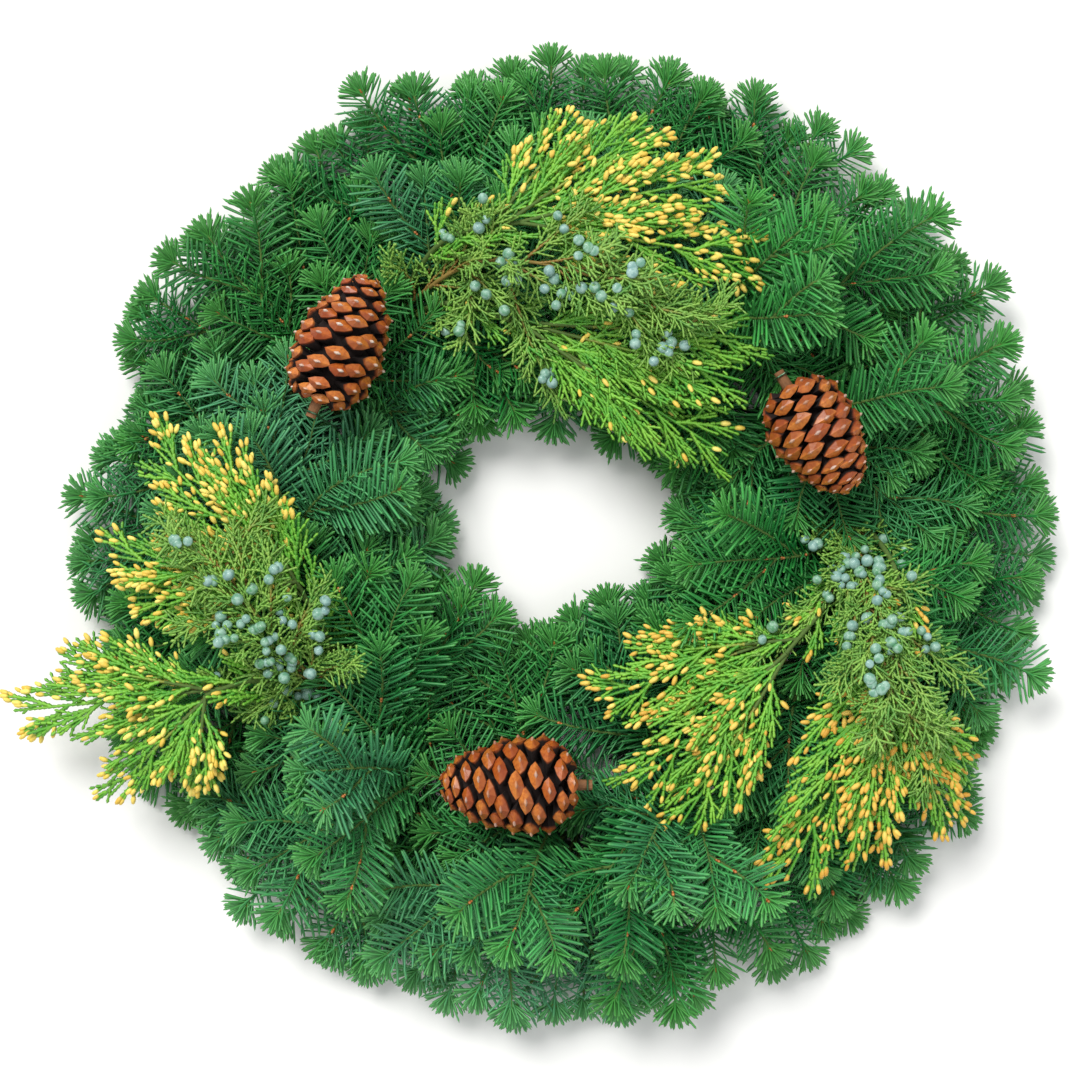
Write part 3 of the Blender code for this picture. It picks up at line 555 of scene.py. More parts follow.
# cones: middle (ring angle, radius, height), direction of the apex, length and greatest radius, in degrees
# and mm; how far its scales are open, and how much pale resin is on their umbos, painted partly as a
# highlight
cones = {
    "cone_upper_left": {
        "angle": 138, "ringRadius": 183, "height": 80, "heading": 67, "length": 86, "radius": 30,
        "scales": 92, "open": 1.0, "resin": 1.0,
    },
    "cone_right": {
        "angle": 22, "ringRadius": 168, "height": 78, "heading": -58, "length": 78, "radius": 29,
        "scales": 84, "open": 0.35, "resin": 0.6,
    },
    "cone_bottom": {
        "angle": 257, "ringRadius": 154, "height": 79, "heading": 180, "length": 86, "radius": 31,
        "scales": 84, "open": 0.5, "resin": 0.45,
    },
}

# each scale widens from the axis to a thick rhombic end with a blunt point; its rings, of unit length along X
# with Z towards the apex, are place, half width, height above, height below and shift
coneShape = {
    "scaleRings": (
        (0.0, 0.12, 0.06, 0.06, 0.0),
        (0.6, 0.36, 0.16, 0.16, 0.02),
        (0.86, 0.44, 0.24, 0.26, 0.03),
        (0.9, 0.45, 0.245, 0.265, 0.03),
        (0.985, 0.13, 0.055, 0.06, 0.0),
        (1.02, 0.075, 0.04, 0.04, -0.01),
    ),
    "scaleTip": (1.04, 0, -0.02), "sides": 8, "diagonal": 0.83, "skew": 0.3,
    "sink": 0.06, "rootDrop": 0.35, "upperRootRise": 0.4, "lean": 0.42, "upperLean": 0.75,
    "reach": 1.04, "leastReach": 0.34,
    "scaleWidth": 23 * mm, "endWidth": 0.66, "swell": 0.38, "narrowing": 0.12,
    "core": 0.6, "coreLength": 0.42, "taper": 0.18, "fullness": 1.07, "clear": 2,
    "stub": 15 * mm, "stubRadius": 3.2 * mm, "stubFlare": 1.2, "stubDepth": 0.4, "baseDepth": 0.55,
    # below is painted shade on the face of each scale end that looks towards the cone's base
    "dark": (172, 84, 26), "light": (212, 130, 52), "grain": (136, 46, 16), "below": (122, 44, 14),
    # gap is painted shade: near-black on the hidden inner part of each scale and on the core, where the gaps
    # between scale ends lie in shadow
    "edge": (104, 30, 10), "gap": (24, 7, 4), "resinHighlightDull": (206, 186, 164), "resinHighlightPale": (250, 246, 240),
}


def conePaint(graph):
    along, shape = graph.attribute("along"), coneShape
    grain = graph.noise(2.2 * mm, 5)
    # painted shade: the face of each scale end towards the cone's base is darkened
    below = graph.smooth(0 - graph.attribute("rise"), -0.1, 0.6) * 0.62
    edge = graph.smooth(graph.attribute("across"), 0.86, 1.0) * 0.7
    # the umbo tips go near-white: partly real resin, partly a painted highlight
    resin = graph.smooth(along + grain * 0.03, 0.995, 1.01) * graph.attribute("resin") * 0.9
    wood = graph.blend(graph.attribute("shade"), shape["dark"], shape["light"])
    wood = graph.blend(graph.smooth(grain, 0.35, 0.75) * 0.55, wood, shape["grain"])
    wood = graph.blend(below, wood, shape["below"])
    wood = graph.blend(edge, wood, shape["edge"])
    # painted shade: the hidden inner part of each scale and the core go near-black
    wood = graph.blend(1 - graph.smooth(along, 0.82, 0.9), wood, shape["gap"])
    return {
        "Base Color": graph.blend(resin, wood, graph.blend(grain, shape["resinHighlightDull"], shape["resinHighlightPale"])),
        "Roughness": 0.9 - graph.smooth(along, 0.85, 0.92) * 0.5,
        "Normal": graph.bump(grain, 0.35, 0.5 * mm),
    }


def coneMatrix(cone):
    middle = ringMiddle + ringPoint(cone["ringRadius"] * mm, cone["angle"], cone["height"] * mm)
    heading = Matrix.Rotation(math.radians(cone["heading"]), 4, "Z")
    return Matrix.Translation(middle) @ heading @ Matrix.Rotation(math.radians(90), 4, "Y")


def coneScale():
    bm = bmesh.new()
    along, across, rise = [bm.verts.layers.float.new(layer) for layer in ("along", "across", "rise")]
    widest, highest = coneShape["scaleRings"][3][1], coneShape["scaleRings"][3][3]
    loops = []
    for place, halfWidth, above, below, shift in coneShape["scaleRings"]:
        loop = []
        for j in range(coneShape["sides"]):
            turn = math.tau * j / coneShape["sides"]
            share = coneShape["diagonal"] if j % 2 else 1
            wide, high = math.cos(turn) * share, math.sin(turn) * share
            height = shift + (high * above if high > 0 else high * below)
            vert = bm.verts.new((place, wide * halfWidth + high * coneShape["skew"] * above, height))
            vert[along], vert[rise] = place, high
            vert[across] = math.hypot(wide * halfWidth / widest, high * max(above, below) / highest)
            loop.append(vert)
        loops.append(loop)
    joinLoops(bm, loops)
    tip = bm.verts.new(coneShape["scaleTip"])
    tip[along] = 1
    closeTip(bm, loops[-1], tip)
    bm.faces.new(list(reversed(loops[0])))
    bmesh.ops.recalc_face_normals(bm, faces=bm.faces)
    return newObject("coneScaleShape", bm)


# the scales follow each other by the golden angle, and stand closer together in the middle than at the ends
def coneTree():
    graph, get = startTree("pineCone", {
        "Scales": ("Int", 84), "Length": ("Float", 0.086), "Radius": ("Float", 0.03),
        "Open": ("Float", 1.0), "Resin": ("Float", 1.0), "Seed": ("Int", 3),
        "Scale Shape": ("Object", None), "Material": ("Material", None),
    })
    count, length, radius = get("Scales"), get("Length"), get("Radius")
    seed, opened = get("Seed"), get("Open")
    index = graph.add("GeometryNodeInputIndex")
    share = (index + 2) / (count + 3)
    level = share * 2 - 1
    sink = coneShape["sink"]
    level = level - graph.math("SINE", level * math.pi) * sink - (1 - level * level) * sink
    girth = graph.math("SQRT", graph.math("MAXIMUM", 1 - level * level, 0.0))
    girth = girth * (1 - level * coneShape["taper"]) * radius
    drop = girth * coneShape["rootDrop"] * (1 - share * coneShape["upperRootRise"])
    axis = graph.xyz(0.0, 0.0, level * length * 0.5 - drop)
    points = graph.add("GeometryNodePoints", None, {"Count": count})
    points = graph.add("GeometryNodeSetPosition", None, {"Geometry": points, "Position": axis})
    turn = index * goldenAngle
    side = graph.xyz(graph.math("COSINE", turn), graph.math("SINE", turn), 0.0)
    lean = level * coneShape["upperLean"] + coneShape["lean"] - opened * 0.1
    lean = lean + graph.draws(-0.07, 0.07, seed) * (1 + opened)
    way = graph.sumWay(side, graph.scaled((0.0, 0.0, 1.0), lean))
    uneven = 1 + graph.draws(-0.03, 0.03, seed + 1) * (1 + opened)
    reach = graph.math("MAXIMUM", girth * coneShape["reach"], radius * coneShape["leastReach"]) * uneven
    width = coneShape["endWidth"] - share * coneShape["narrowing"]
    width = width + coneShape["swell"] * graph.math("SINE", share * math.pi)
    width = coneShape["scaleWidth"] * width * (1 - opened * 0.1)
    size = graph.xyz(reach, width, width * 1.1)
    scales = graph.placed(points, get("Scale Shape"), graph.aimed(way, (0.0, 0.0, 1.0)), size)
    scales = graph.stored(scales, "shade", graph.draws(0.0, 1.0, seed + 2))
    scales = graph.stored(scales, "resin", graph.draws(0.35, 1.0, seed + 3) * get("Resin"))
    return finishTree(graph, [graph.finished(scales, get("Material"), False)])


# brings the scales to the cone's size, and adds its core and its stalk
def closeCone(piece, length, radius, wood, stalkWood):
    bm = bmesh.new()
    bm.from_mesh(piece.data)
    wide = max(math.hypot(vert.co.x, vert.co.y) for vert in bm.verts)
    top, base = max(vert.co.z for vert in bm.verts), min(vert.co.z for vert in bm.verts)
    bmesh.ops.translate(bm, verts=bm.verts, vec=(0, 0, -(top + base) / 2))
    broader = radius * coneShape["fullness"] / wide
    bmesh.ops.scale(bm, verts=bm.verts, vec=(broader, broader, length / (top - base)))
    coreRadius, depth = radius * coneShape["core"], radius * coneShape["stubDepth"]
    low = -length / 2 + depth * coneShape["baseDepth"] - coneShape["stub"]
    core = bmesh.ops.create_uvsphere(
        bm, u_segments=12, v_segments=8, radius=1,
        matrix=Matrix.Diagonal((coreRadius, coreRadius, length * coneShape["coreLength"], 1)))
    stalk = bmesh.ops.create_cone(
        bm, cap_ends=True, segments=12, radius1=coneShape["stubRadius"],
        radius2=coneShape["stubRadius"] * coneShape["stubFlare"], depth=coneShape["stub"] + depth,
        matrix=Matrix.Translation((0, 0, low + (coneShape["stub"] + depth) / 2)))
    piece.data.materials.append(stalkWood)
    for part, material in ((core, wood), (stalk, stalkWood)):
        for face in {face for vert in part["verts"] for face in vert.link_faces}:
            face.material_index = piece.data.materials.find(material.name)
    bm.to_mesh(piece.data)
    bm.free()


def buildCones():
    wood = makeMaterial("coneWood", conePaint)
    stalkPaint = woodPaint((110, 72, 44), (150, 104, 66), 2 * mm, 0.8, 0.5, 0.4 * mm)
    stalkWood = makeMaterial("stalkWood", stalkPaint)
    shape, tree = coneScale(), coneTree()
    for slot, (node, cone) in enumerate(cones.items()):
        length, radius = cone["length"] * mm, cone["radius"] * mm
        piece = applyTree(addObject("coneStart", bpy.data.meshes.new("coneStart")), tree, {
            "Scales": cone["scales"], "Length": length, "Radius": radius, "Open": cone["open"],
            "Resin": cone["resin"], "Seed": 11 * slot + 5, "Scale Shape": shape, "Material": wood,
        }, pieceName(node))
        closeCone(piece, length, radius, wood, stalkWood)
        piece.data.transform(coneMatrix(cone))
        fitPiece(piece, node)
    bpy.data.objects.remove(shape)
    print("cones done")


# each cone's wire keeps its solid
wireColours = {"lacquer": (44, 84, 52), "scuffed": (92, 118, 92)}


def wirePaint(graph):
    scuff = graph.smooth(graph.noise(3 * mm, 4), 0.5, 0.75)
    green = graph.blend(scuff, wireColours["lacquer"], wireColours["scuffed"])
    return {"Base Color": green, "Roughness": 0.4, "Metallic": 0.4}


def dressWires():
    material = makeMaterial("bindingWire", wirePaint)
    for node in cones:
        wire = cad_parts[node + "_wire"]
        wire.data.materials.clear()
        wire.data.materials.append(material)
    print("cone wires done")


# sprays are cords of scale leaves, drawn as forking lines
def sprayLine(spray):
    start, gate = rootEnds(spray["lane"], clampAngle(spray["clamp"]), "sprayRootAfter", "highLevel")
    return [start, *through([gate] + [Vector(point) * mm for point in spray["stem"]], 8)]


def cordPaint(dark, light, tip):
    def paint(graph):
        green = graph.blend(graph.attribute("tint"), dark, light)
        green = graph.blend(graph.smooth(graph.noise(14 * mm), 0.4, 0.75) * 0.4, green, tip)
        green = graph.blend(graph.smooth(graph.attribute("along"), 0.55, 1.0) * 0.4, green, tip)
        green = graph.blend(graph.smooth(graph.attribute("bark"), 0.2, 1.0), green, (150, 118, 56))
        normal = graph.bump(graph.noise(0.9 * mm), 0.25, 0.2 * mm)
        return {"Base Color": green, "Roughness": 0.5, "Normal": normal}
    return paint


# joints of scale leaves along every cord, and fruit at the ends of some and along a few
def sprayTree(name):
    graph, get = startTree(name, {
        "Joint Length": ("Float", 0.003), "Joint Overlap": ("Float", 1.35), "Seed": ("Int", 1),
        "Fruit Along": ("Float", 0.0), "Joint": ("Object", None), "Fruit": ("Object", None),
        "Cord Material": ("Material", None), "Fruit Material": ("Material", None),
    })
    seed, gap, level = get("Seed"), get("Joint Length"), (0.0, 0.0, 1.0)
    curves = graph.add("GeometryNodeMeshToCurve", None, {"Mesh": get("Lines")})
    points = graph.add("GeometryNodeResampleCurve", {"mode": "LENGTH"}, {"Curve": curves, "Length": gap})
    ahead = graph.add("GeometryNodeInputTangent")
    thick = graph.named("radius") * graph.draws(0.92, 1.08, seed)
    size = graph.xyz(gap * get("Joint Overlap"), thick, thick)
    joints = graph.placed(points, get("Joint"), graph.aimed(ahead, level), size)
    bearing = graph.both(graph.lineEnds(), graph.named("fruit") > 0.5)
    fruitSize = graph.draws(0.8, 1.15, seed + 1)
    atEnds = graph.placed(curves, get("Fruit"), graph.aimed(ahead, level), fruitSize, bearing)
    aside = graph.draws((-1.0, -1.0, -0.3), (1.0, 1.0, 1.0), seed + 3, "FLOAT_VECTOR")
    way = graph.aimed(graph.sumWay(graph.scaled(ahead, 2.0), aside), level)
    outer = graph.add("GeometryNodeSplineParameter", None, None, "Factor") > 0.45
    bearing = graph.both(graph.chance(get("Fruit Along"), seed + 4), outer * graph.named("fruit") > 0.5)
    alongCords = graph.placed(points, get("Fruit"), way, graph.draws(0.65, 1.0, seed + 5), bearing)
    fruits = graph.stored(graph.joined([atEnds, alongCords]), "shade", graph.draws(0.0, 1.0, seed + 2))
    cordPart = graph.finished(joints, get("Cord Material"))
    return finishTree(graph, [cordPart, graph.finished(fruits, get("Fruit Material"))])


def stemTree():
    graph, get = startTree("bareStems", {"Sides": ("Int", 8), "Material": ("Material", None)})
    curves = graph.add("GeometryNodeMeshToCurve", None, {"Mesh": get("Lines")})
    return finishTree(graph, [graph.tube(curves, get("Sides"), get("Material"))])


def joinPieces(first, second):
    parts = [first, second]
    with bpy.context.temp_override(active_object=first, selected_editable_objects=parts, object=first):
        bpy.ops.object.join()


def buildSprays(kind, nodes, shape, growCords, joint, fruit, look):
    tree, stemsTree = sprayTree(kind + "Spray"), stemTree()
    for slot, (node, spray) in enumerate(nodes.items()):
        name = pieceName(node)
        stems, cords = growCords(node, spray)
        stem = linesObject(name + "Stems", stems)
        stem = applyTree(stem, stemsTree, {"Material": look["bark"]}, name + "Stem")
        piece = applyTree(linesObject(name + "Lines", cords), tree, {
            "Joint Length": shape["jointLength"], "Joint Overlap": shape["jointOverlap"],
            "Fruit Along": shape["fruitAlong"], "Seed": shape["seedStep"] * slot + shape["firstSeed"],
            "Joint": joint, "Fruit": fruit, "Cord Material": look["cords"], "Fruit Material": look["fruit"],
        }, name)
        joinPieces(piece, stem)
        fitFoliage(piece, node)
    bpy.data.objects.remove(joint)
    bpy.data.objects.remove(fruit)
    print(kind, "sprays done")


# cedar fans: the clamp that holds the root, its lane, the stem's points and the fronds' tips, in mm; the tips
# of more fronds between those of the solids; the share of cords with pollen cones, and how ochre those are
cedars = {
    "cedar_top_outer": {
        "clamp": 4, "lane": 186, "stem": ((-74, 186, 64), (-28, 194, 82)),
        "tips": ((8, 258, 64), (92, 222, 76)),
        "extraTips": ((50, 252, 72), (114, 172, 76)), "coneShare": 0.95, "ochre": 0.1,
    },
    "cedar_top_inner": {
        "clamp": 4, "lane": 174, "stem": ((-70, 148, 48), (-22, 130, 72)),
        "tips": ((106, 98, 80), (98, 54, 62)),
        "extraTips": ((112, 124, 78), (72, 62, 60)), "coneShare": 0.14, "ochre": 0.1,
    },
    "cedar_left_upper": {
        "clamp": 7, "lane": 174, "stem": ((-146, -66, 46), (-166, -26, 64)),
        "tips": ((-254, 58, 66), (-276, -10, 72)),
        "extraTips": ((-214, 58, 72), (-266, -36, 62)), "coneShare": 0.9, "ochre": 0.1,
    },
    "cedar_left_lower": {
        "clamp": 7, "lane": 186, "stem": ((-190, -88, 54), (-222, -96, 68)),
        "tips": ((-340, -106, 52), (-280, -156, 58)),
        "extraTips": ((-308, -76, 60), (-228, -156, 58)), "coneShare": 0.7, "ochre": 0.1,
    },
    "cedar_right_inner": {
        "clamp": 0, "lane": 174, "stem": ((170, -28, 46), (136, -70, 70)),
        "tips": ((22, -98, 62), (72, -174, 72)),
        "extraTips": ((46, -70, 62), (44, -152, 66)), "coneShare": 0.75, "ochre": 0.45,
    },
    "cedar_right_outer": {
        "clamp": 0, "lane": 186, "stem": ((206, -24, 62), (198, -96, 78)),
        "tips": ((138, -208, 62), (238, -174, 64)),
        "extraTips": ((186, -196, 64), (246, -142, 64)), "coneShare": 0.95, "ochre": 0.75,
    },
}

# lengths in mm; a cord has a radius at each end, and places are shares of the line that carries it
# sideReach is the share of the frond's length that side cords reach at its tip, and what its fork adds
cedarShape = {
    "sideCords": 9, "sidePlaces": (0.08, 0.94), "sideReach": (0.18, 0.42), "sideAngle": 30,
    "rootCords": 5, "rootPlaces": (0.5, 0.92), "rootReach": 34, "rootConeShare": 0.3,
    "subStep": 5.4, "subAngle": 24, "subLength": (8, 12), "forkedOver": 13,
    "tinyPlaces": ((0.4, 1), (0.62, -1)), "tinyShare": 0.42, "bearing": (1.15, 1.1, 1.0, 0.2),
    "mainCord": (1.5, 1.1), "sideCord": (1.6, 1.15), "subCord": (1.4, 1.05), "tinyCord": (1.2, 0.95),
    "arch": 7,
    "jointLength": 3.2 * mm, "jointOverlap": 1.35, "fruitAlong": 0.11, "seedStep": 13, "firstSeed": 2,
}


def growCedar(node, cedar):
    root = sprayLine(cedar)
    draw = random.Random(node + "-cords")
    stems, cords = [{"points": root, "radius": (1.9 * mm, 1.3 * mm)}], []

    def addCord(line, radii, bearing, bark=0):
        fruit = 1 if draw.random() < bearing else 0
        gold = min(max(cedar["ochre"] + draw.uniform(-0.25, 0.25), 0), 1)
        cords.append({"points": line, "radius": (radii[0] * mm, radii[1] * mm), "fruit": fruit,
                      "bark": (bark, 0.0), "tint": draw.uniform(0, 1), "ochre": gold})

    # short cords on both sides of a side cord, the longer ones forked once more
    def addSubCords(line, normal, reach, share, bearing):
        steps = int(reach / mm / cedarShape["subStep"])
        least, more = cedarShape["subLength"]
        for k in range(1, steps):
            at, forward = forkAt(line, reach * 0.97 * k / steps, 0.3 * mm)
            aside = normal.cross(forward).normalized() * (1 if k % 2 else -1)
            angle = cedarShape["subAngle"] + draw.uniform(-6, 8)
            fullness = least + more * math.sin(math.pi * min(k / steps + 0.25, 1)) * (1 - 0.5 * share)
            small = fullness * draw.uniform(0.7, 1.15) * mm
            way = turned(forward, aside, angle) + normal * draw.uniform(-0.18, 0.18)
            sub = bentLine(at, way, forward * 0.4, small, 4)
            addCord(sub, cedarShape["subCord"], bearing * (0.4 + 0.75 * share))
            if small > cedarShape["forkedOver"] * mm:
                for spot, flip in cedarShape["tinyPlaces"]:
                    aside = normal.cross(way).normalized() * flip
                    tinyWay = way.normalized() * 0.85 + aside * 0.5
                    fork, length = sub[0].lerp(sub[-1], spot), small * cedarShape["tinyShare"]
                    tiny = bentLine(fork, tinyWay, way * 0.3, length, 3)
                    addCord(tiny, cedarShape["tinyCord"], bearing * 0.7)

    def addSideCords(axis, normal, count, places, reachOf, coneShare):
        length, (firstShare, lastShare) = lineLength(axis), places
        for j in range(count):
            share = firstShare + (lastShare - firstShare) * j / count + draw.uniform(-0.015, 0.015)
            start, ahead = forkAt(axis, length * share)
            across = normal.cross(ahead).normalized() * (1 if j % 2 else -1)
            angle = cedarShape["sideAngle"] + draw.uniform(-5, 7)
            reach = reachOf(share) * draw.uniform(0.82, 1.08)
            way = turned(ahead, across, angle) + normal * draw.uniform(-0.14, 0.12)
            line = bentLine(start, way, ahead * 0.5, reach, 7)
            bearing = coneShare * draw.choice(cedarShape["bearing"])
            addCord(line, cedarShape["sideCord"], bearing)
            addSubCords(line, normal, reach, share, bearing)

    ahead = root[-1] - root[-4]
    normal = ahead.cross(up).cross(ahead).normalized()
    rootShare = cedar["coneShare"] * cedarShape["rootConeShare"]
    addSideCords(root, normal, cedarShape["rootCords"], cedarShape["rootPlaces"],
                 lambda share: cedarShape["rootReach"] * mm, rootShare)
    atTip, towardsFork = cedarShape["sideReach"]
    for fromEnd, tip in zip((4, 2, 3, 1), (*cedar["tips"], *cedar["extraTips"])):
        fork, tip = root[-fromEnd], Vector(tip) * mm
        axis = through([fork, fork.lerp(tip, 0.5) + up * cedarShape["arch"] * mm, tip], 8)
        length = lineLength(axis)
        stems.append({"points": axis[:6], "radius": (1.3 * mm, 0.9 * mm)})
        addCord(evenly(axis, 12), cedarShape["mainCord"], cedar["coneShare"], 1.0)
        normal = (tip - fork).cross(up).cross(tip - fork).normalized()
        addSideCords(axis, normal, cedarShape["sideCords"], cedarShape["sidePlaces"],
                     lambda share: length * (atTip + towardsFork * (1 - share)), cedar["coneShare"])
    return stems, cords


def pollenPaint(graph):
    shade = graph.attribute("shade")
    yellow = graph.blend(shade, (234, 200, 80), (252, 234, 122))
    orange = graph.blend(shade, (204, 146, 44), (236, 186, 76))
    gold = graph.blend(graph.attribute("ochre"), yellow, orange)
    gold = graph.blend(1 - graph.smooth(graph.attribute("along"), 0.0, 0.35), gold, (150, 170, 60))
    place = graph.add("ShaderNodeTexCoord", None, None, "Object")
    scales = graph.add("ShaderNodeTexVoronoi", None, {"Vector": place, "Scale": 1 / (0.9 * mm)}, "Distance")
    return {"Base Color": gold, "Roughness": 0.55, "Normal": graph.bump(scales, 0.5, 0.3 * mm)}


# stems of the cedar and bare twigs of the fir
twigPaint = woodPaint((58, 92, 38), (98, 122, 52), 1.6 * mm, 0.8, 0.6, 0.3 * mm)


def buildCedars():
    joint = leafShape("cedarJoint", ((0, 0.8, 0.5, 0.5), (0.66, 1.25, 0.6, 0.6)), 0.0)
    pollenCone = blobShape("pollenCone", (((1.9, 0, 0), (1, 0, 0), 7.0, 3.4),), 5, 4)
    buildSprays("cedar", cedars, cedarShape, growCedar, joint, pollenCone, {
        "cords": makeMaterial("cedarGreen", cordPaint((66, 150, 44), (124, 194, 62), (164, 210, 78))),
        "fruit": makeMaterial("pollenGold", pollenPaint),
        "bark": makeMaterial("cedarBark", twigPaint),
    })


# juniper sprays: as the cedar fans, and where on the stem the berries begin and end; tufts are extra twigs,
# each with its place on the stem and the point that it reaches
junipers = {
    "juniper_top": {
        "clamp": 4, "lane": 180, "stem": ((-66, 168, 60), (-24, 170, 86), (30, 154, 94), (72, 122, 88)),
        "berries": (0.3, 0.9), "tufts": ((0.5, (-14, 74, 62)), (0.4, (-52, 118, 70)), (0.3, (-40, 196, 82))),
    },
    "juniper_left": {
        "clamp": 7, "lane": 180, "stem": ((-162, -80, 60), (-182, -54, 82), (-202, -26, 88), (-214, 2, 84)),
        "berries": (0.05, 0.62),
        "tufts": ((0.14, (-222, -122, 70)), (0.1, (-168, -138, 58)), (0.36, (-126, -62, 80))),
    },
    "juniper_right": {
        "clamp": 0, "lane": 180, "stem": ((184, -26, 60), (188, -56, 82), (198, -90, 89), (208, -122, 84)),
        "berries": (0.1, 0.6),
        "tufts": ((0.36, (130, -82, 74)), (0.5, (242, -102, 78)), (0.12, (186, -12, 74))),
    },
}

# twigs fork twice, so what differs between the three levels is a group of three; lengths in mm
juniperShape = {
    "twigs": 20, "twigPlaces": (0.12, 0.86), "twigAngle": (26, 48), "twigLength": 44, "sides": (-1, 1, 0.25),
    "forkPlaces": (0.14, 0.82), "forkAngle": (24, 42),
    "berryShare": 0.26, "strayShare": 0.05, "tuftShare": 0.14,
    "sway": (0.5, 0.35, 0.2), "steps": (8, 5, 3), "radii": ((1.25, 0.95), (1.15, 0.9), (1.0, 0.8)),
    "bark": (1.3, 0.4, 0), "spacing": (4.4, 4.1), "longest": (21, 10), "berryStalk": (0.8, 0.6),
    "jointLength": 2.6 * mm, "jointOverlap": 1.4, "fruitAlong": 0.0, "seedStep": 17, "firstSeed": 4,
}


def growJuniper(node, juniper):
    root = sprayLine(juniper)
    draw = random.Random(node + "-cords")
    length = lineLength(root)
    firstBerry, lastBerry = juniper["berries"]
    firstFork, forkSpan = juniperShape["forkPlaces"]
    firstTwig, twigSpan = juniperShape["twigPlaces"]
    stems, cords = [{"points": root[:-6], "radius": (1.6 * mm, 0.8 * mm)}], []

    def addCord(line, radii, fruit, bark):
        cords.append({"points": line, "radius": (radii[0] * mm, radii[1] * mm), "fruit": fruit,
                      "bark": (bark, 0.0), "tint": draw.uniform(0, 1)})

    def addBerries(at):
        for j in range(draw.randint(1, 3)):
            rise = up * draw.uniform(0.2, 1)
            stalk = (rise + Vector((draw.uniform(-1, 1), draw.uniform(-1, 1), 0))).normalized()
            end = at + stalk * draw.uniform(3, 6) * mm
            addCord([at, at + stalk * 2 * mm, end], juniperShape["berryStalk"], 1, 0)

    def grow(start, way, reach, level, berryShare):
        sway = Vector((draw.uniform(-1, 1), draw.uniform(-1, 1), draw.uniform(-0.2, 0.3)))
        line = bentLine(start, way, sway * juniperShape["sway"][level], reach, juniperShape["steps"][level])
        addCord(line, juniperShape["radii"][level], 0, juniperShape["bark"][level])
        if level == 2:
            return
        if level == 1 and draw.random() < berryShare:
            addBerries(line[draw.randint(1, 4)])
        count = int(reach / mm / juniperShape["spacing"][level])
        for k in range(count):
            spot = firstFork + forkSpan * (k + draw.uniform(0, 0.6)) / count
            at, forward = forkAt(line, reach * 0.97 * spot, 0.2 * mm)
            across = up.cross(forward).normalized() * (1 if k % 2 else -1)
            angle = draw.uniform(*juniperShape["forkAngle"])
            onward = turned(forward, across, angle) + up * draw.uniform(-0.2, 0.3)
            longest = juniperShape["longest"][level] * mm * draw.uniform(0.7, 1.1) * (1.1 - 0.55 * spot)
            grow(at, onward.normalized(), longest, level + 1, berryShare)

    for j in range(juniperShape["twigs"]):
        share = firstTwig + twigSpan * j / juniperShape["twigs"]
        start, ahead = forkAt(root, length * share)
        across = up.cross(ahead).normalized() * juniperShape["sides"][j % 3]
        way = turned(ahead, across, draw.uniform(*juniperShape["twigAngle"]))
        way += up * (draw.uniform(0.15, 0.4) if j % 3 == 2 else draw.uniform(-0.15, 0.2))
        reach = juniperShape["twigLength"] * mm * draw.uniform(0.8, 1.2) * (1.1 - 0.3 * abs(share - 0.6))
        berryShare = juniperShape["berryShare" if firstBerry < share < lastBerry else "strayShare"]
        grow(start, way.normalized(), reach, 0, berryShare)
    for share, target in juniper["tufts"]:
        start = spaced(root, [length * share])[0]
        way = Vector(target) * mm - start
        grow(start, way.normalized(), way.length, 0, juniperShape["tuftShare"])
    return stems, cords


def berryPaint(graph):
    bloom = graph.smooth(graph.noise(2.6 * mm, 4), 0.35, 0.7)
    skin = graph.blend(graph.attribute("shade"), (88, 150, 104), (122, 162, 160))
    skin = graph.blend(bloom * 0.55, skin, (188, 216, 206))
    return {"Base Color": skin, "Roughness": 0.38 + bloom * 0.3, "Coat Weight": 0.15}


def buildJunipers():
    joint = leafShape("juniperJoint", ((0, 0.8, 0.8, 0.8), (0.64, 1.2, 1.2, 1.0)), 0.0)
    berry = blobShape("berryShape", (((2.6, 0, 0), (1, 0, 0), 7.0, 6.8),), 9, 6)
    barkPaint = woodPaint((116, 92, 42), (164, 140, 70), 1.4 * mm, 0.75, 0.5, 0.3 * mm)
    buildSprays("juniper", junipers, juniperShape, growJuniper, joint, berry, {
        "cords": makeMaterial("juniperGreen", cordPaint((78, 140, 54), (140, 188, 80), (164, 200, 94))),
        "fruit": makeMaterial("berrySkin", berryPaint),
        "bark": makeMaterial("juniperBark", barkPaint),
    })


# fir: each sprig is its tip's radius (inner row: distance outside the hole's edge) and height, its turn from
# the clamp, clockwise, and the tip's lean and slope, in mm and degrees; the first one is the main sprig,
# those in fill only thicken the bunch, and those in under are the ones below it, painted dark as shade
firRows = {
    "outer": {
        "lane": 188, "rise": 0.22, "covered": 0.5, "belowCone": 0.36, "reach": 62, "firstFork": 7,
        "sprigs": ((280, 62, 31, 30, 6), (298, 24, 9, 6, -4), (291, 42, 20, 18, 2)),
        "fill": ((284, 30, 26, 24, -2), (293, 20, 2, 10, 0)),
        "under": ((282, 12, 30, 26, -2), (268, 10, 14, 12, 0), (246, 16, 36, 34, 0)),
    },
    "face": {
        "lane": 180, "rise": 0.42, "covered": 0.56, "belowCone": 0.42, "reach": 42, "firstFork": 18,
        "sprigs": ((172, 92, 38, 70, 2), (244, 84, 17, 20, 12), (212, 96, 27, 38, 10)),
        "fill": ((226, 72, 36, 48, 4),),
        "under": ((222, 30, 26, 40, 0), (196, 34, 38, 60, 0)),
    },
    "inner": {
        "lane": 172, "rise": 0.2, "covered": 0.5, "belowCone": 0.42, "reach": 54, "firstFork": 7,
        "sprigs": ((26, 62, 33, 30, 0), (16, 34, 17, 22, -8)),
        "fill": ((20, 30, 27, 30, -4), (38, 74, 24, 44, 4)),
        "under": ((27, 10, 36, 30, 0), (36, 14, 22, 30, 0), (58, 20, 27, 20, 0)),
    },
}

# the wreath's hole, which the inner row follows
hole = {"middle": Vector((-10, 17, 0)) * mm, "halfWidth": 74 * mm, "halfHeight": 56 * mm}

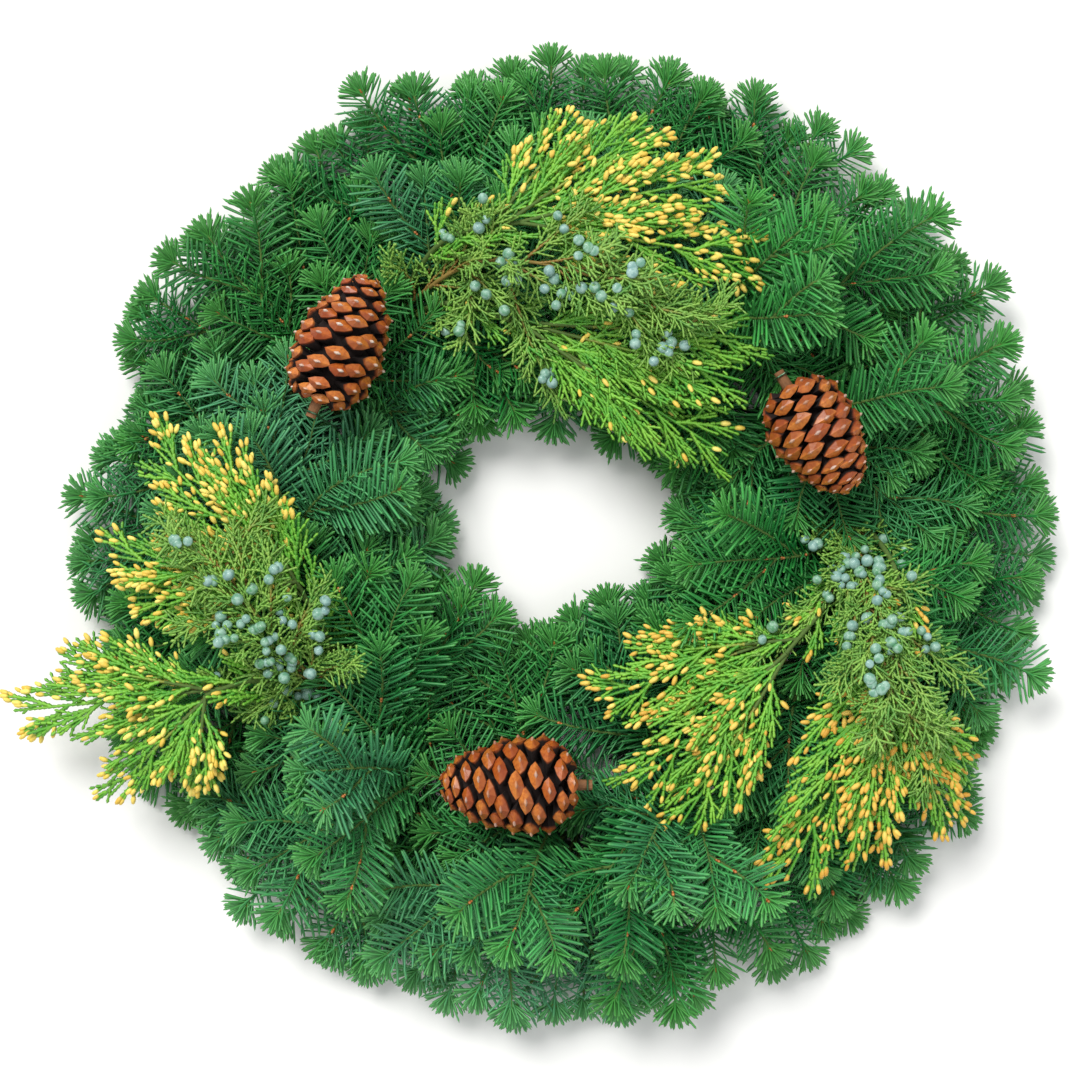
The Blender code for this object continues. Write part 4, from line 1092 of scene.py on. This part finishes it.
firShape = {
    "tipDraws": (7, 4, 1.6), "forkStep": 12, "curveSteps": 32, "twigSteps": 14, "halfWay": 0.55,
    "mainLeave": 0.3, "sideLeave": 0.16, "sideRise": 0.6, "arrive": 0.42,
    "loweredBy": 0.62, "loweredWithin": 1.6, "coneClear": 14, "coneDepth": 34,
    "twigRadii": (1.3 * mm, 0.6 * mm), "bareShare": 0.12, "mainBareShare": 0.3,
    "branchletShares": (0.5, 0.66), "branchletAngle": 44, "longestBranchlet": 62 * mm, "lowestTip": 6 * mm,
    "branchletRadii": (1.1 * mm, 0.7 * mm), "branchletBare": 0.05,
    "needleSpacing": 0.82 * mm, "underSpacing": 1.6 * mm, "needleLength": 25.5 * mm, "plainBelow": 52 * mm,
    "needlePitch": 1.22, "tipLean": 0.42, "topLean": 0.42, "topLift": 0.62, "lowDrop": 0.3,
    "tipShorter": 0.27, "topShorter": 0.22, "youngLength": 15 * mm, "budShare": 0.3, "sideBudShare": 0.008,
    "tints": (0.0, 0.05, 0.15, 0.3, 0.6), "topLevel": 96 * mm,
}

# needles of unit length: rings (place, half width, height above, height below), and how far they bend up
needleShapes = {
    "Needle": (((0, 0.034, 0.014, 0.012), (0.5, 0.055, 0.02, 0.014), (0.93, 0.048, 0.016, 0.01)), 0.12),
    "Plain Needle": (((0, 0.042, 0.014, 0.012), (0.88, 0.052, 0.016, 0.01)), 0.08),
    "Under Needle": (((0, 0.066, 0.02, 0.02), (0.85, 0.076, 0.02, 0.02)), 0.1),
}
fanShape = {
    "needle": (((0, 0.046, 0.02, 0.014), (0.9, 0.068, 0.022, 0.014)), 0.05), "needles": 17, "step": 7.6,
    "rises": (12, -8, 30), "size": 0.56, "outerSize": 0.1, "steepSize": 0.08, "setBack": 0.1,
}
budBlobs = (
    ((1.6, 0, 0), (1, 0, 0), 5.4, 3.0),
    ((0.6, 1.3, 0), (1, 0.55, 0), 3.8, 2.2),
    ((0.6, -1.3, 0), (1, -0.55, 0), 3.8, 2.2),
)


def flatPoint(point):
    return Vector((point[0] * mm, point[1] * mm, 0))


# places under cones and sprays, where the fir stays low
def coveredPlaces():
    belowCones, belowSprays = [], []
    for cone in cones.values():
        middle = ringPoint(cone["ringRadius"] * mm, cone["angle"], 0)
        axis = ringPoint(1, cone["heading"], 0) * cone["length"] * mm
        belowCones += [middle + axis * share for share in (-0.35, 0, 0.35)]
    for spray in (*junipers.values(), *cedars.values()):
        stem = [flatPoint(point) for point in spray["stem"]]
        belowSprays += stem + [stem[-1].lerp(flatPoint(tip), 0.65) for tip in spray.get("tips", ())]
    return {"belowCone": belowCones, "covered": belowSprays}


places = coveredPlaces()


def heightShare(row, gate, tip):
    share = 1
    for point in (tip, gate.lerp(tip, firShape["halfWay"])):
        flat = Vector((point.x, point.y, 0))
        for cover, below in places.items():
            if min((flat - place).length for place in below) < row["reach"] * mm:
                share = min(share, row[cover])
    return share


# a main sprig runs from its root through the clamp to its tip, and a side sprig leaves it after the clamp
def sprigCurve(start, way, tip, ahead):
    distance = (tip - start).length
    arrive = tip - ahead * distance * firShape["arrive"]
    return interpolate_bezier(start, start + way * distance, arrive, tip, firShape["curveSteps"])


def mainCurve(start, gate, clamp, tip, ahead, rise):
    onward = ringPoint(1, clamp - clamps["rootAfter"] - 90, 0)
    return [start, *sprigCurve(gate, onward * firShape["mainLeave"] + up * rise, tip, ahead)]


def sideCurve(main, firstFork, slot, tip, ahead, rise):
    stop = (main[1] - main[0]).length + (firstFork + firShape["forkStep"] * (slot - 1)) * mm
    fork, onward = forkAt(main, stop)
    way = (onward + (tip - fork).normalized()) * firShape["sideLeave"]
    return sprigCurve(fork, way + up * rise * firShape["sideRise"], tip, ahead)


def sprigTarget(kind, name, slot, clamp, sprig):
    reach, height, turn, lean, slope = sprig
    draw = random.Random(f"{name}-{slot}-tip")
    further, higher, around = [draw.uniform(-most, most) for most in firShape["tipDraws"]]
    angle = clamp - turn + around
    if kind != "inner":
        tip = ringPoint((reach + further) * mm, angle, (height + higher) * mm)
        return tip, turned(ringPoint(1, angle - lean, 0).normalized(), up, slope)
    spin, middle = math.radians(angle), hole["middle"]
    edge = middle + Vector((hole["halfWidth"] * math.cos(spin), hole["halfHeight"] * math.sin(spin), 0))
    out = (edge - middle).normalized()
    tip = edge + out * (reach + further) * mm + up * (height + higher) * mm
    return tip, turned((Matrix.Rotation(math.radians(lean), 3, "Z") @ -out).normalized(), up, slope)


# true where a sprig would lie on top of a cone
def overCone(point):
    for cone in cones.values():
        axis, half = ringPoint(1, cone["heading"], 0), cone["length"] / 2 * mm
        away = point - ringPoint(cone["ringRadius"] * mm, cone["angle"], 0)
        flat = away - axis * max(min(away.dot(axis), half), -half)
        beside = Vector((flat.x, flat.y)).length < (cone["radius"] + firShape["coneClear"]) * mm
        if beside and point.z > (cone["height"] - firShape["coneDepth"]) * mm:
            return True
    return False


def lowered(line):
    last, found = len(line) - 1, []
    for j, point in enumerate(line):
        share = 1 - firShape["loweredBy"] * min(j / last * firShape["loweredWithin"], 1)
        found.append(Vector((point.x, point.y, point.z * share)))
    return found


# a twig is its points, its radius at both ends, the share of it that is bare, how glaucous it is, 1 for
# undergrowth painted dark as shade or 0.5 for plain needles, and how light it is, partly at random and partly
# as painted light and shade by its height
def addTwig(twigs, points, radii, bare, tint, under, tone):
    values = {"bare": bare, "tint": tint, "under": under, "tone": tone}
    twigs.append({"points": points, "radius": radii, **values})


def addBranchlets(twigs, curve, seed, tint, twigToneAndHeightShade, under):
    draw = random.Random(seed)
    length = lineLength(curve)
    side = draw.choice((-1, 1))
    for share in firShape["branchletShares"]:
        share += draw.uniform(-0.04, 0.04)
        side = -side
        fork, ahead = forkAt(curve, length * share)
        across = up.cross(ahead).normalized() * side
        longest = min((1 - share) * length * 0.8 + 16 * mm, firShape["longestBranchlet"])
        reach = longest * draw.uniform(0.8, 1.08)
        way = turned(ahead, across, firShape["branchletAngle"] + draw.uniform(-7, 7))
        lift = up * draw.uniform(-0.16, 0.14)
        end = fork + (way * 0.9 + ahead * 0.24 + lift) * reach
        end.z = max(end.z, firShape["lowestTip"])
        arrive = end - (ahead + way).normalized() * reach * 0.3
        line = list(interpolate_bezier(fork, fork + way * reach * 0.4, arrive, end, 8))
        if overCone(end) or overCone(line[4]):
            line = lowered(line)
        tone = twigToneAndHeightShade + draw.uniform(-0.12, 0.12)
        addTwig(twigs, line, firShape["branchletRadii"], firShape["branchletBare"], tint, under, tone)


def bunchTwigs(kind, index, name):
    row, clamp = firRows[kind], clampAngle(index)
    start, gate = rootEnds(row["lane"], clamp, "rootAfter", "lowLevel")
    # every second inner bunch has one sprig less
    solidSprigs = row["sprigs"] if kind != "inner" else row["sprigs"][: 2 - index % 2]
    topCount = len(solidSprigs) + len(row["fill"])
    draw = random.Random(name + "-tint")
    bunchTint = draw.choice(firShape["tints"])
    twigs = []
    for slot, sprig in enumerate((*solidSprigs, *row["fill"], *row["under"])):
        under = 1 if slot >= topCount else 0
        tip, ahead = sprigTarget(kind, name, slot, clamp, sprig)
        share = heightShare(row, gate, tip)
        tip.z *= share
        if slot == 0:
            curve = main = mainCurve(start, gate, clamp, tip, ahead, row["rise"] * share)
        else:
            curve = sideCurve(main, row["firstFork"], 1 + (slot - 1) % 3, tip, ahead, row["rise"] * share)
        if len(solidSprigs) <= slot < topCount and (overCone(tip) or overCone(curve[20])):
            curve = lowered(curve)
        # painted light and shade: a sprig is lighter the higher its tip stands, with a random part added
        tone = min(max(tip.z / firShape["topLevel"] * 0.7 + draw.uniform(-0.1, 0.35), 0), 1)
        if not under and tip.z < firShape["plainBelow"]:
            under = 0.5
        tint = min(max(bunchTint + draw.uniform(-0.15, 0.15), 0), 1)
        bare = firShape["bareShare" if slot else "mainBareShare"]
        addTwig(twigs, evenly(curve, firShape["twigSteps"]), firShape["twigRadii"], bare, tint, under, tone)
        if under < 1:
            addBranchlets(twigs, curve, f"{name}-{slot}-branchlets", tint, tone, under)
    return twigs


def needlePaint(graph):
    shade, along = graph.attribute("shade"), graph.attribute("along")
    edge = graph.smooth(graph.attribute("across"), 0.55, 1.0) * 0.15
    # tone lightens the higher sprigs and darkens the lower ones: painted light and shade by height, partly
    # random
    green = graph.blend(shade * 0.55 + graph.attribute("tone") * 0.5, (4, 82, 34), (78, 184, 86))
    green = graph.blend(graph.smooth(graph.noise(90 * mm), 0.35, 0.7), green, (18, 120, 50))
    green = graph.blend(graph.attribute("tint") * 0.85, green, (98, 172, 134))
    green = graph.blend(edge, green, (116, 188, 120))
    green = graph.blend((1 - graph.smooth(along, 0.0, 0.3)) * 0.5, green, (30, 92, 36))
    green = graph.blend(graph.attribute("young") * 0.5, green, (92, 170, 74))
    green = graph.blend(graph.smooth(along, 0.8, 1.0) * 0.3, green, (104, 180, 84))
    # painted shade: needles of the undergrowth go dark green
    green = graph.blend(graph.attribute("under") > 0.75, green, (8, 54, 26))
    return {"Base Color": green, "Roughness": 0.52 - shade * 0.12}


def budPaint(graph):
    brown = graph.blend(graph.noise(0.8 * mm), (150, 62, 30), (206, 112, 52))
    brown = graph.blend(graph.smooth(graph.attribute("along"), 0.5, 1.0) * 0.5, brown, (222, 160, 96))
    return {"Base Color": brown, "Roughness": 0.42}


# each needle turns round the twig by the golden angle, and is pressed towards its two sides
def needleWay(graph, ahead, side, above, tipward, seed):
    turn = graph.add("GeometryNodeInputIndex") * goldenAngle + graph.draws(-0.25, 0.25, seed)
    high = graph.math("SINE", turn)
    onTop, below = graph.math("MAXIMUM", high, 0.0), graph.math("MINIMUM", high, 0.0)
    lifted = onTop * firShape["topLift"] + below * firShape["lowDrop"]
    around = graph.sumWay(graph.scaled(side, graph.math("COSINE", turn)), graph.scaled(above, lifted))
    pitch = firShape["needlePitch"] - tipward * firShape["tipLean"] - onTop * firShape["topLean"]
    pitch = pitch + graph.draws(-0.08, 0.08, seed + 1)
    along, outwards = graph.math("COSINE", pitch), graph.math("SINE", pitch)
    return graph.sumWay(graph.scaled(ahead, along), graph.scaled(around, outwards)), onTop


# needles stand in two flat ranks with some on top, lean forward, and lean more towards the tip
def firTree():
    shapes = ("Needle", "Plain Needle", "Under Needle", "Tip Fan", "Bud")
    graph, get = startTree("firSprigs", {
        "Spacing": ("Float", firShape["needleSpacing"]), "Under Spacing": ("Float", firShape["underSpacing"]),
        "Needle Length": ("Float", firShape["needleLength"]), "Seed": ("Int", 1),
        **{shape: ("Object", None) for shape in shapes},
        **{part + " Material": ("Material", None) for part in ("Needle", "Bark", "Bud")},
    })
    seed, under = get("Seed"), graph.named("under")
    curves = graph.add("GeometryNodeMeshToCurve", None, {"Mesh": get("Lines")})
    gap = get("Spacing") + (get("Under Spacing") - get("Spacing")) * (under > 0.75)
    points = graph.add("GeometryNodeResampleCurve", {"mode": "LENGTH"}, {"Curve": curves, "Length": gap})
    factor = graph.add("GeometryNodeSplineParameter", None, None, "Factor")
    length = graph.add("GeometryNodeSplineLength", None, None, "Length")
    tipward = 1 - graph.smooth((1 - factor) * length, 0.0, firShape["youngLength"])
    points = graph.stored(points, "young", tipward, "POINT")

    ahead = graph.add("GeometryNodeInputTangent")
    side = graph.vector("NORMALIZE", graph.vector("CROSS_PRODUCT", ahead, (0.0, 0.0, 1.0)))
    above = graph.vector("CROSS_PRODUCT", side, ahead)
    way, onTop = needleWay(graph, ahead, side, above, tipward, seed)
    curl = graph.sumWay(graph.scaled(ahead, 0.9), above)
    longest = get("Needle Length")
    size = longest * graph.draws(0.84, 1.06, seed + 2) * (1 - tipward * firShape["tipShorter"])
    size = size * (1 - onTop * firShape["topShorter"])
    size = size * (0.7 + 0.3 * graph.smooth(factor * length, 4 * mm, 24 * mm))
    rotation, covered = graph.aimed(way, curl), factor > graph.named("bare")
    wanted = {
        "Needle": under < 0.25, "Plain Needle": (under > 0.25) * (under < 0.75), "Under Needle": under > 0.75,
    }
    ranks = [
        graph.placed(points, get(shape), rotation, size, graph.both(covered, where))
        for shape, where in wanted.items()
    ]
    forward = graph.aimed(ahead, above)
    fans = graph.placed(curves, get("Tip Fan"), forward, longest, graph.lineEnds())
    needles = graph.joined([*ranks, graph.stored(fans, "young", 1.0)])
    needles = graph.stored(needles, "shade", graph.draws(0.0, 1.0, seed + 3))

    atTips = graph.both(graph.lineEnds(), graph.chance(firShape["budShare"], seed + 5))
    tipBuds = graph.placed(curves, get("Bud"), forward, (1.0, 1.0, 1.0), atTips)
    inPlaces = graph.chance(firShape["sideBudShare"], seed + 4)
    sideBuds = graph.placed(points, get("Bud"), graph.aimed(curl, side), (0.8, 0.8, 0.8), inPlaces)
    return finishTree(graph, [
        graph.tube(curves, 6, get("Bark Material")),
        graph.finished(needles, get("Needle Material")),
        graph.finished(tipBuds, get("Bud Material")),
        graph.finished(sideBuds, get("Bud Material")),
    ])


# the brush of short needles that closes a sprig's end
def tipFan():
    needle = leafShape("fanNeedle", *fanShape["needle"])
    bm = bmesh.new()
    middle = fanShape["needles"] // 2
    for j in range(fanShape["needles"]):
        aside, steep = abs(j - middle) / middle, j % 3 == 2
        turn = Matrix.Rotation(math.radians((j - middle) * fanShape["step"]), 4, "Z")
        rise = Matrix.Rotation(-math.radians(fanShape["rises"][j % 3]), 4, "Y")
        size = fanShape["size"] + fanShape["outerSize"] * aside - fanShape["steepSize"] * steep
        back = Matrix.Translation((-fanShape["setBack"] * aside, 0, 0))
        place = back @ (turn @ rise @ Matrix.Scale(size, 4))
        first = len(bm.verts)
        bm.from_mesh(needle.data)
        bm.verts.ensure_lookup_table()
        bmesh.ops.transform(bm, matrix=place, verts=bm.verts[first:])
    bpy.data.objects.remove(needle)
    return newObject("tipFanShape", bm)


def buildFir():
    shapes = {label: leafShape(label.replace(" ", ""), *shape) for label, shape in needleShapes.items()}
    shapes["Tip Fan"] = tipFan()
    shapes["Bud"] = blobShape("budShape", budBlobs, 5, 4)
    materials = {
        "Needle Material": makeMaterial("needleGreen", needlePaint),
        "Bark Material": makeMaterial("firBark", twigPaint),
        "Bud Material": makeMaterial("budBrown", budPaint),
    }
    tree = firTree()
    for kind in firRows:
        for index in range(clamps["count"]):
            node = f"fir_{kind}_{index + 1:02d}"
            lines = linesObject(pieceName(node) + "Lines", bunchTwigs(kind, index, node))
            values = {"Seed": 7 * index + 100 * len(kind), **shapes, **materials}
            fitFoliage(applyTree(lines, tree, values, pieceName(node)), node)
        print("fir row", kind, "done")
    for shape in shapes.values():
        bpy.data.objects.remove(shape)


# floor, lights and the camera straight above
stageSizes = {
    "floor": 30.0, "cameraHeight": 1.66, "cameraShift": -15.5 * mm, "view": 0.6696, "sensor": 36.0,
    "focusLevel": 0.06, "skyLight": 0.5, "skySeen": 0.58,
}


def floorPaint(graph):
    return {"Base Color": graph.blend(graph.noise(0.8), (244, 244, 244), (250, 250, 250)), "Roughness": 0.9}


# a light that shines on the middle of the floor
def addLight(name, kind, place, energy, tone, settings):
    data = bpy.data.lights.new(name, kind)
    data.energy, data.color = energy, tone
    for key, value in settings.items():
        setattr(data, key, value)
    lamp = addObject(name, data)
    lamp.location = place
    lamp.rotation_euler = (-Vector(place)).to_track_quat("-Z", "Y").to_euler()


def buildStage():
    bm = bmesh.new()
    bmesh.ops.create_grid(bm, x_segments=1, y_segments=1, size=stageSizes["floor"] / 2)
    floor = newObject("floor", bm, False)
    floor.data.materials.append(makeMaterial("paleFloor", floorPaint))
    addLight("keyLight", "SUN", (-0.6, 0.95, 1.5), 2.95, (1.0, 0.985, 0.95), {"angle": 0.5})
    addLight("fillLight", "AREA", (1.3, -0.7, 1.5), 7, (0.97, 0.99, 1.0), {"shape": "DISK", "size": 1.6})
    world = bpy.data.worlds.new("softWorld")
    world.use_nodes = True
    sky, background = Graph(world.node_tree), world.node_tree.nodes["Background"]
    background.inputs["Color"].default_value = (1, 1, 1, 1)
    seen = sky.add("ShaderNodeLightPath", None, None, "Is Camera Ray")
    sky.plug(background, "Strength", stageSizes["skyLight"] + seen * stageSizes["skySeen"])
    bpy.context.scene.world = world
    bpy.context.scene.view_settings.view_transform = "Standard"
    data = bpy.data.cameras.new("overheadCamera")
    distance = stageSizes["cameraHeight"] - stageSizes["focusLevel"]
    data.sensor_width = stageSizes["sensor"]
    data.lens = stageSizes["sensor"] * distance / stageSizes["view"]
    camera = addObject("overheadCamera", data)
    camera.location = (ringMiddle.x + stageSizes["cameraShift"], ringMiddle.y, stageSizes["cameraHeight"])
    bpy.context.scene.camera = camera
    print("stage done")


buildStage()
buildRing()
dressWires()
buildCones()
buildFir()
buildCedars()
buildJunipers()
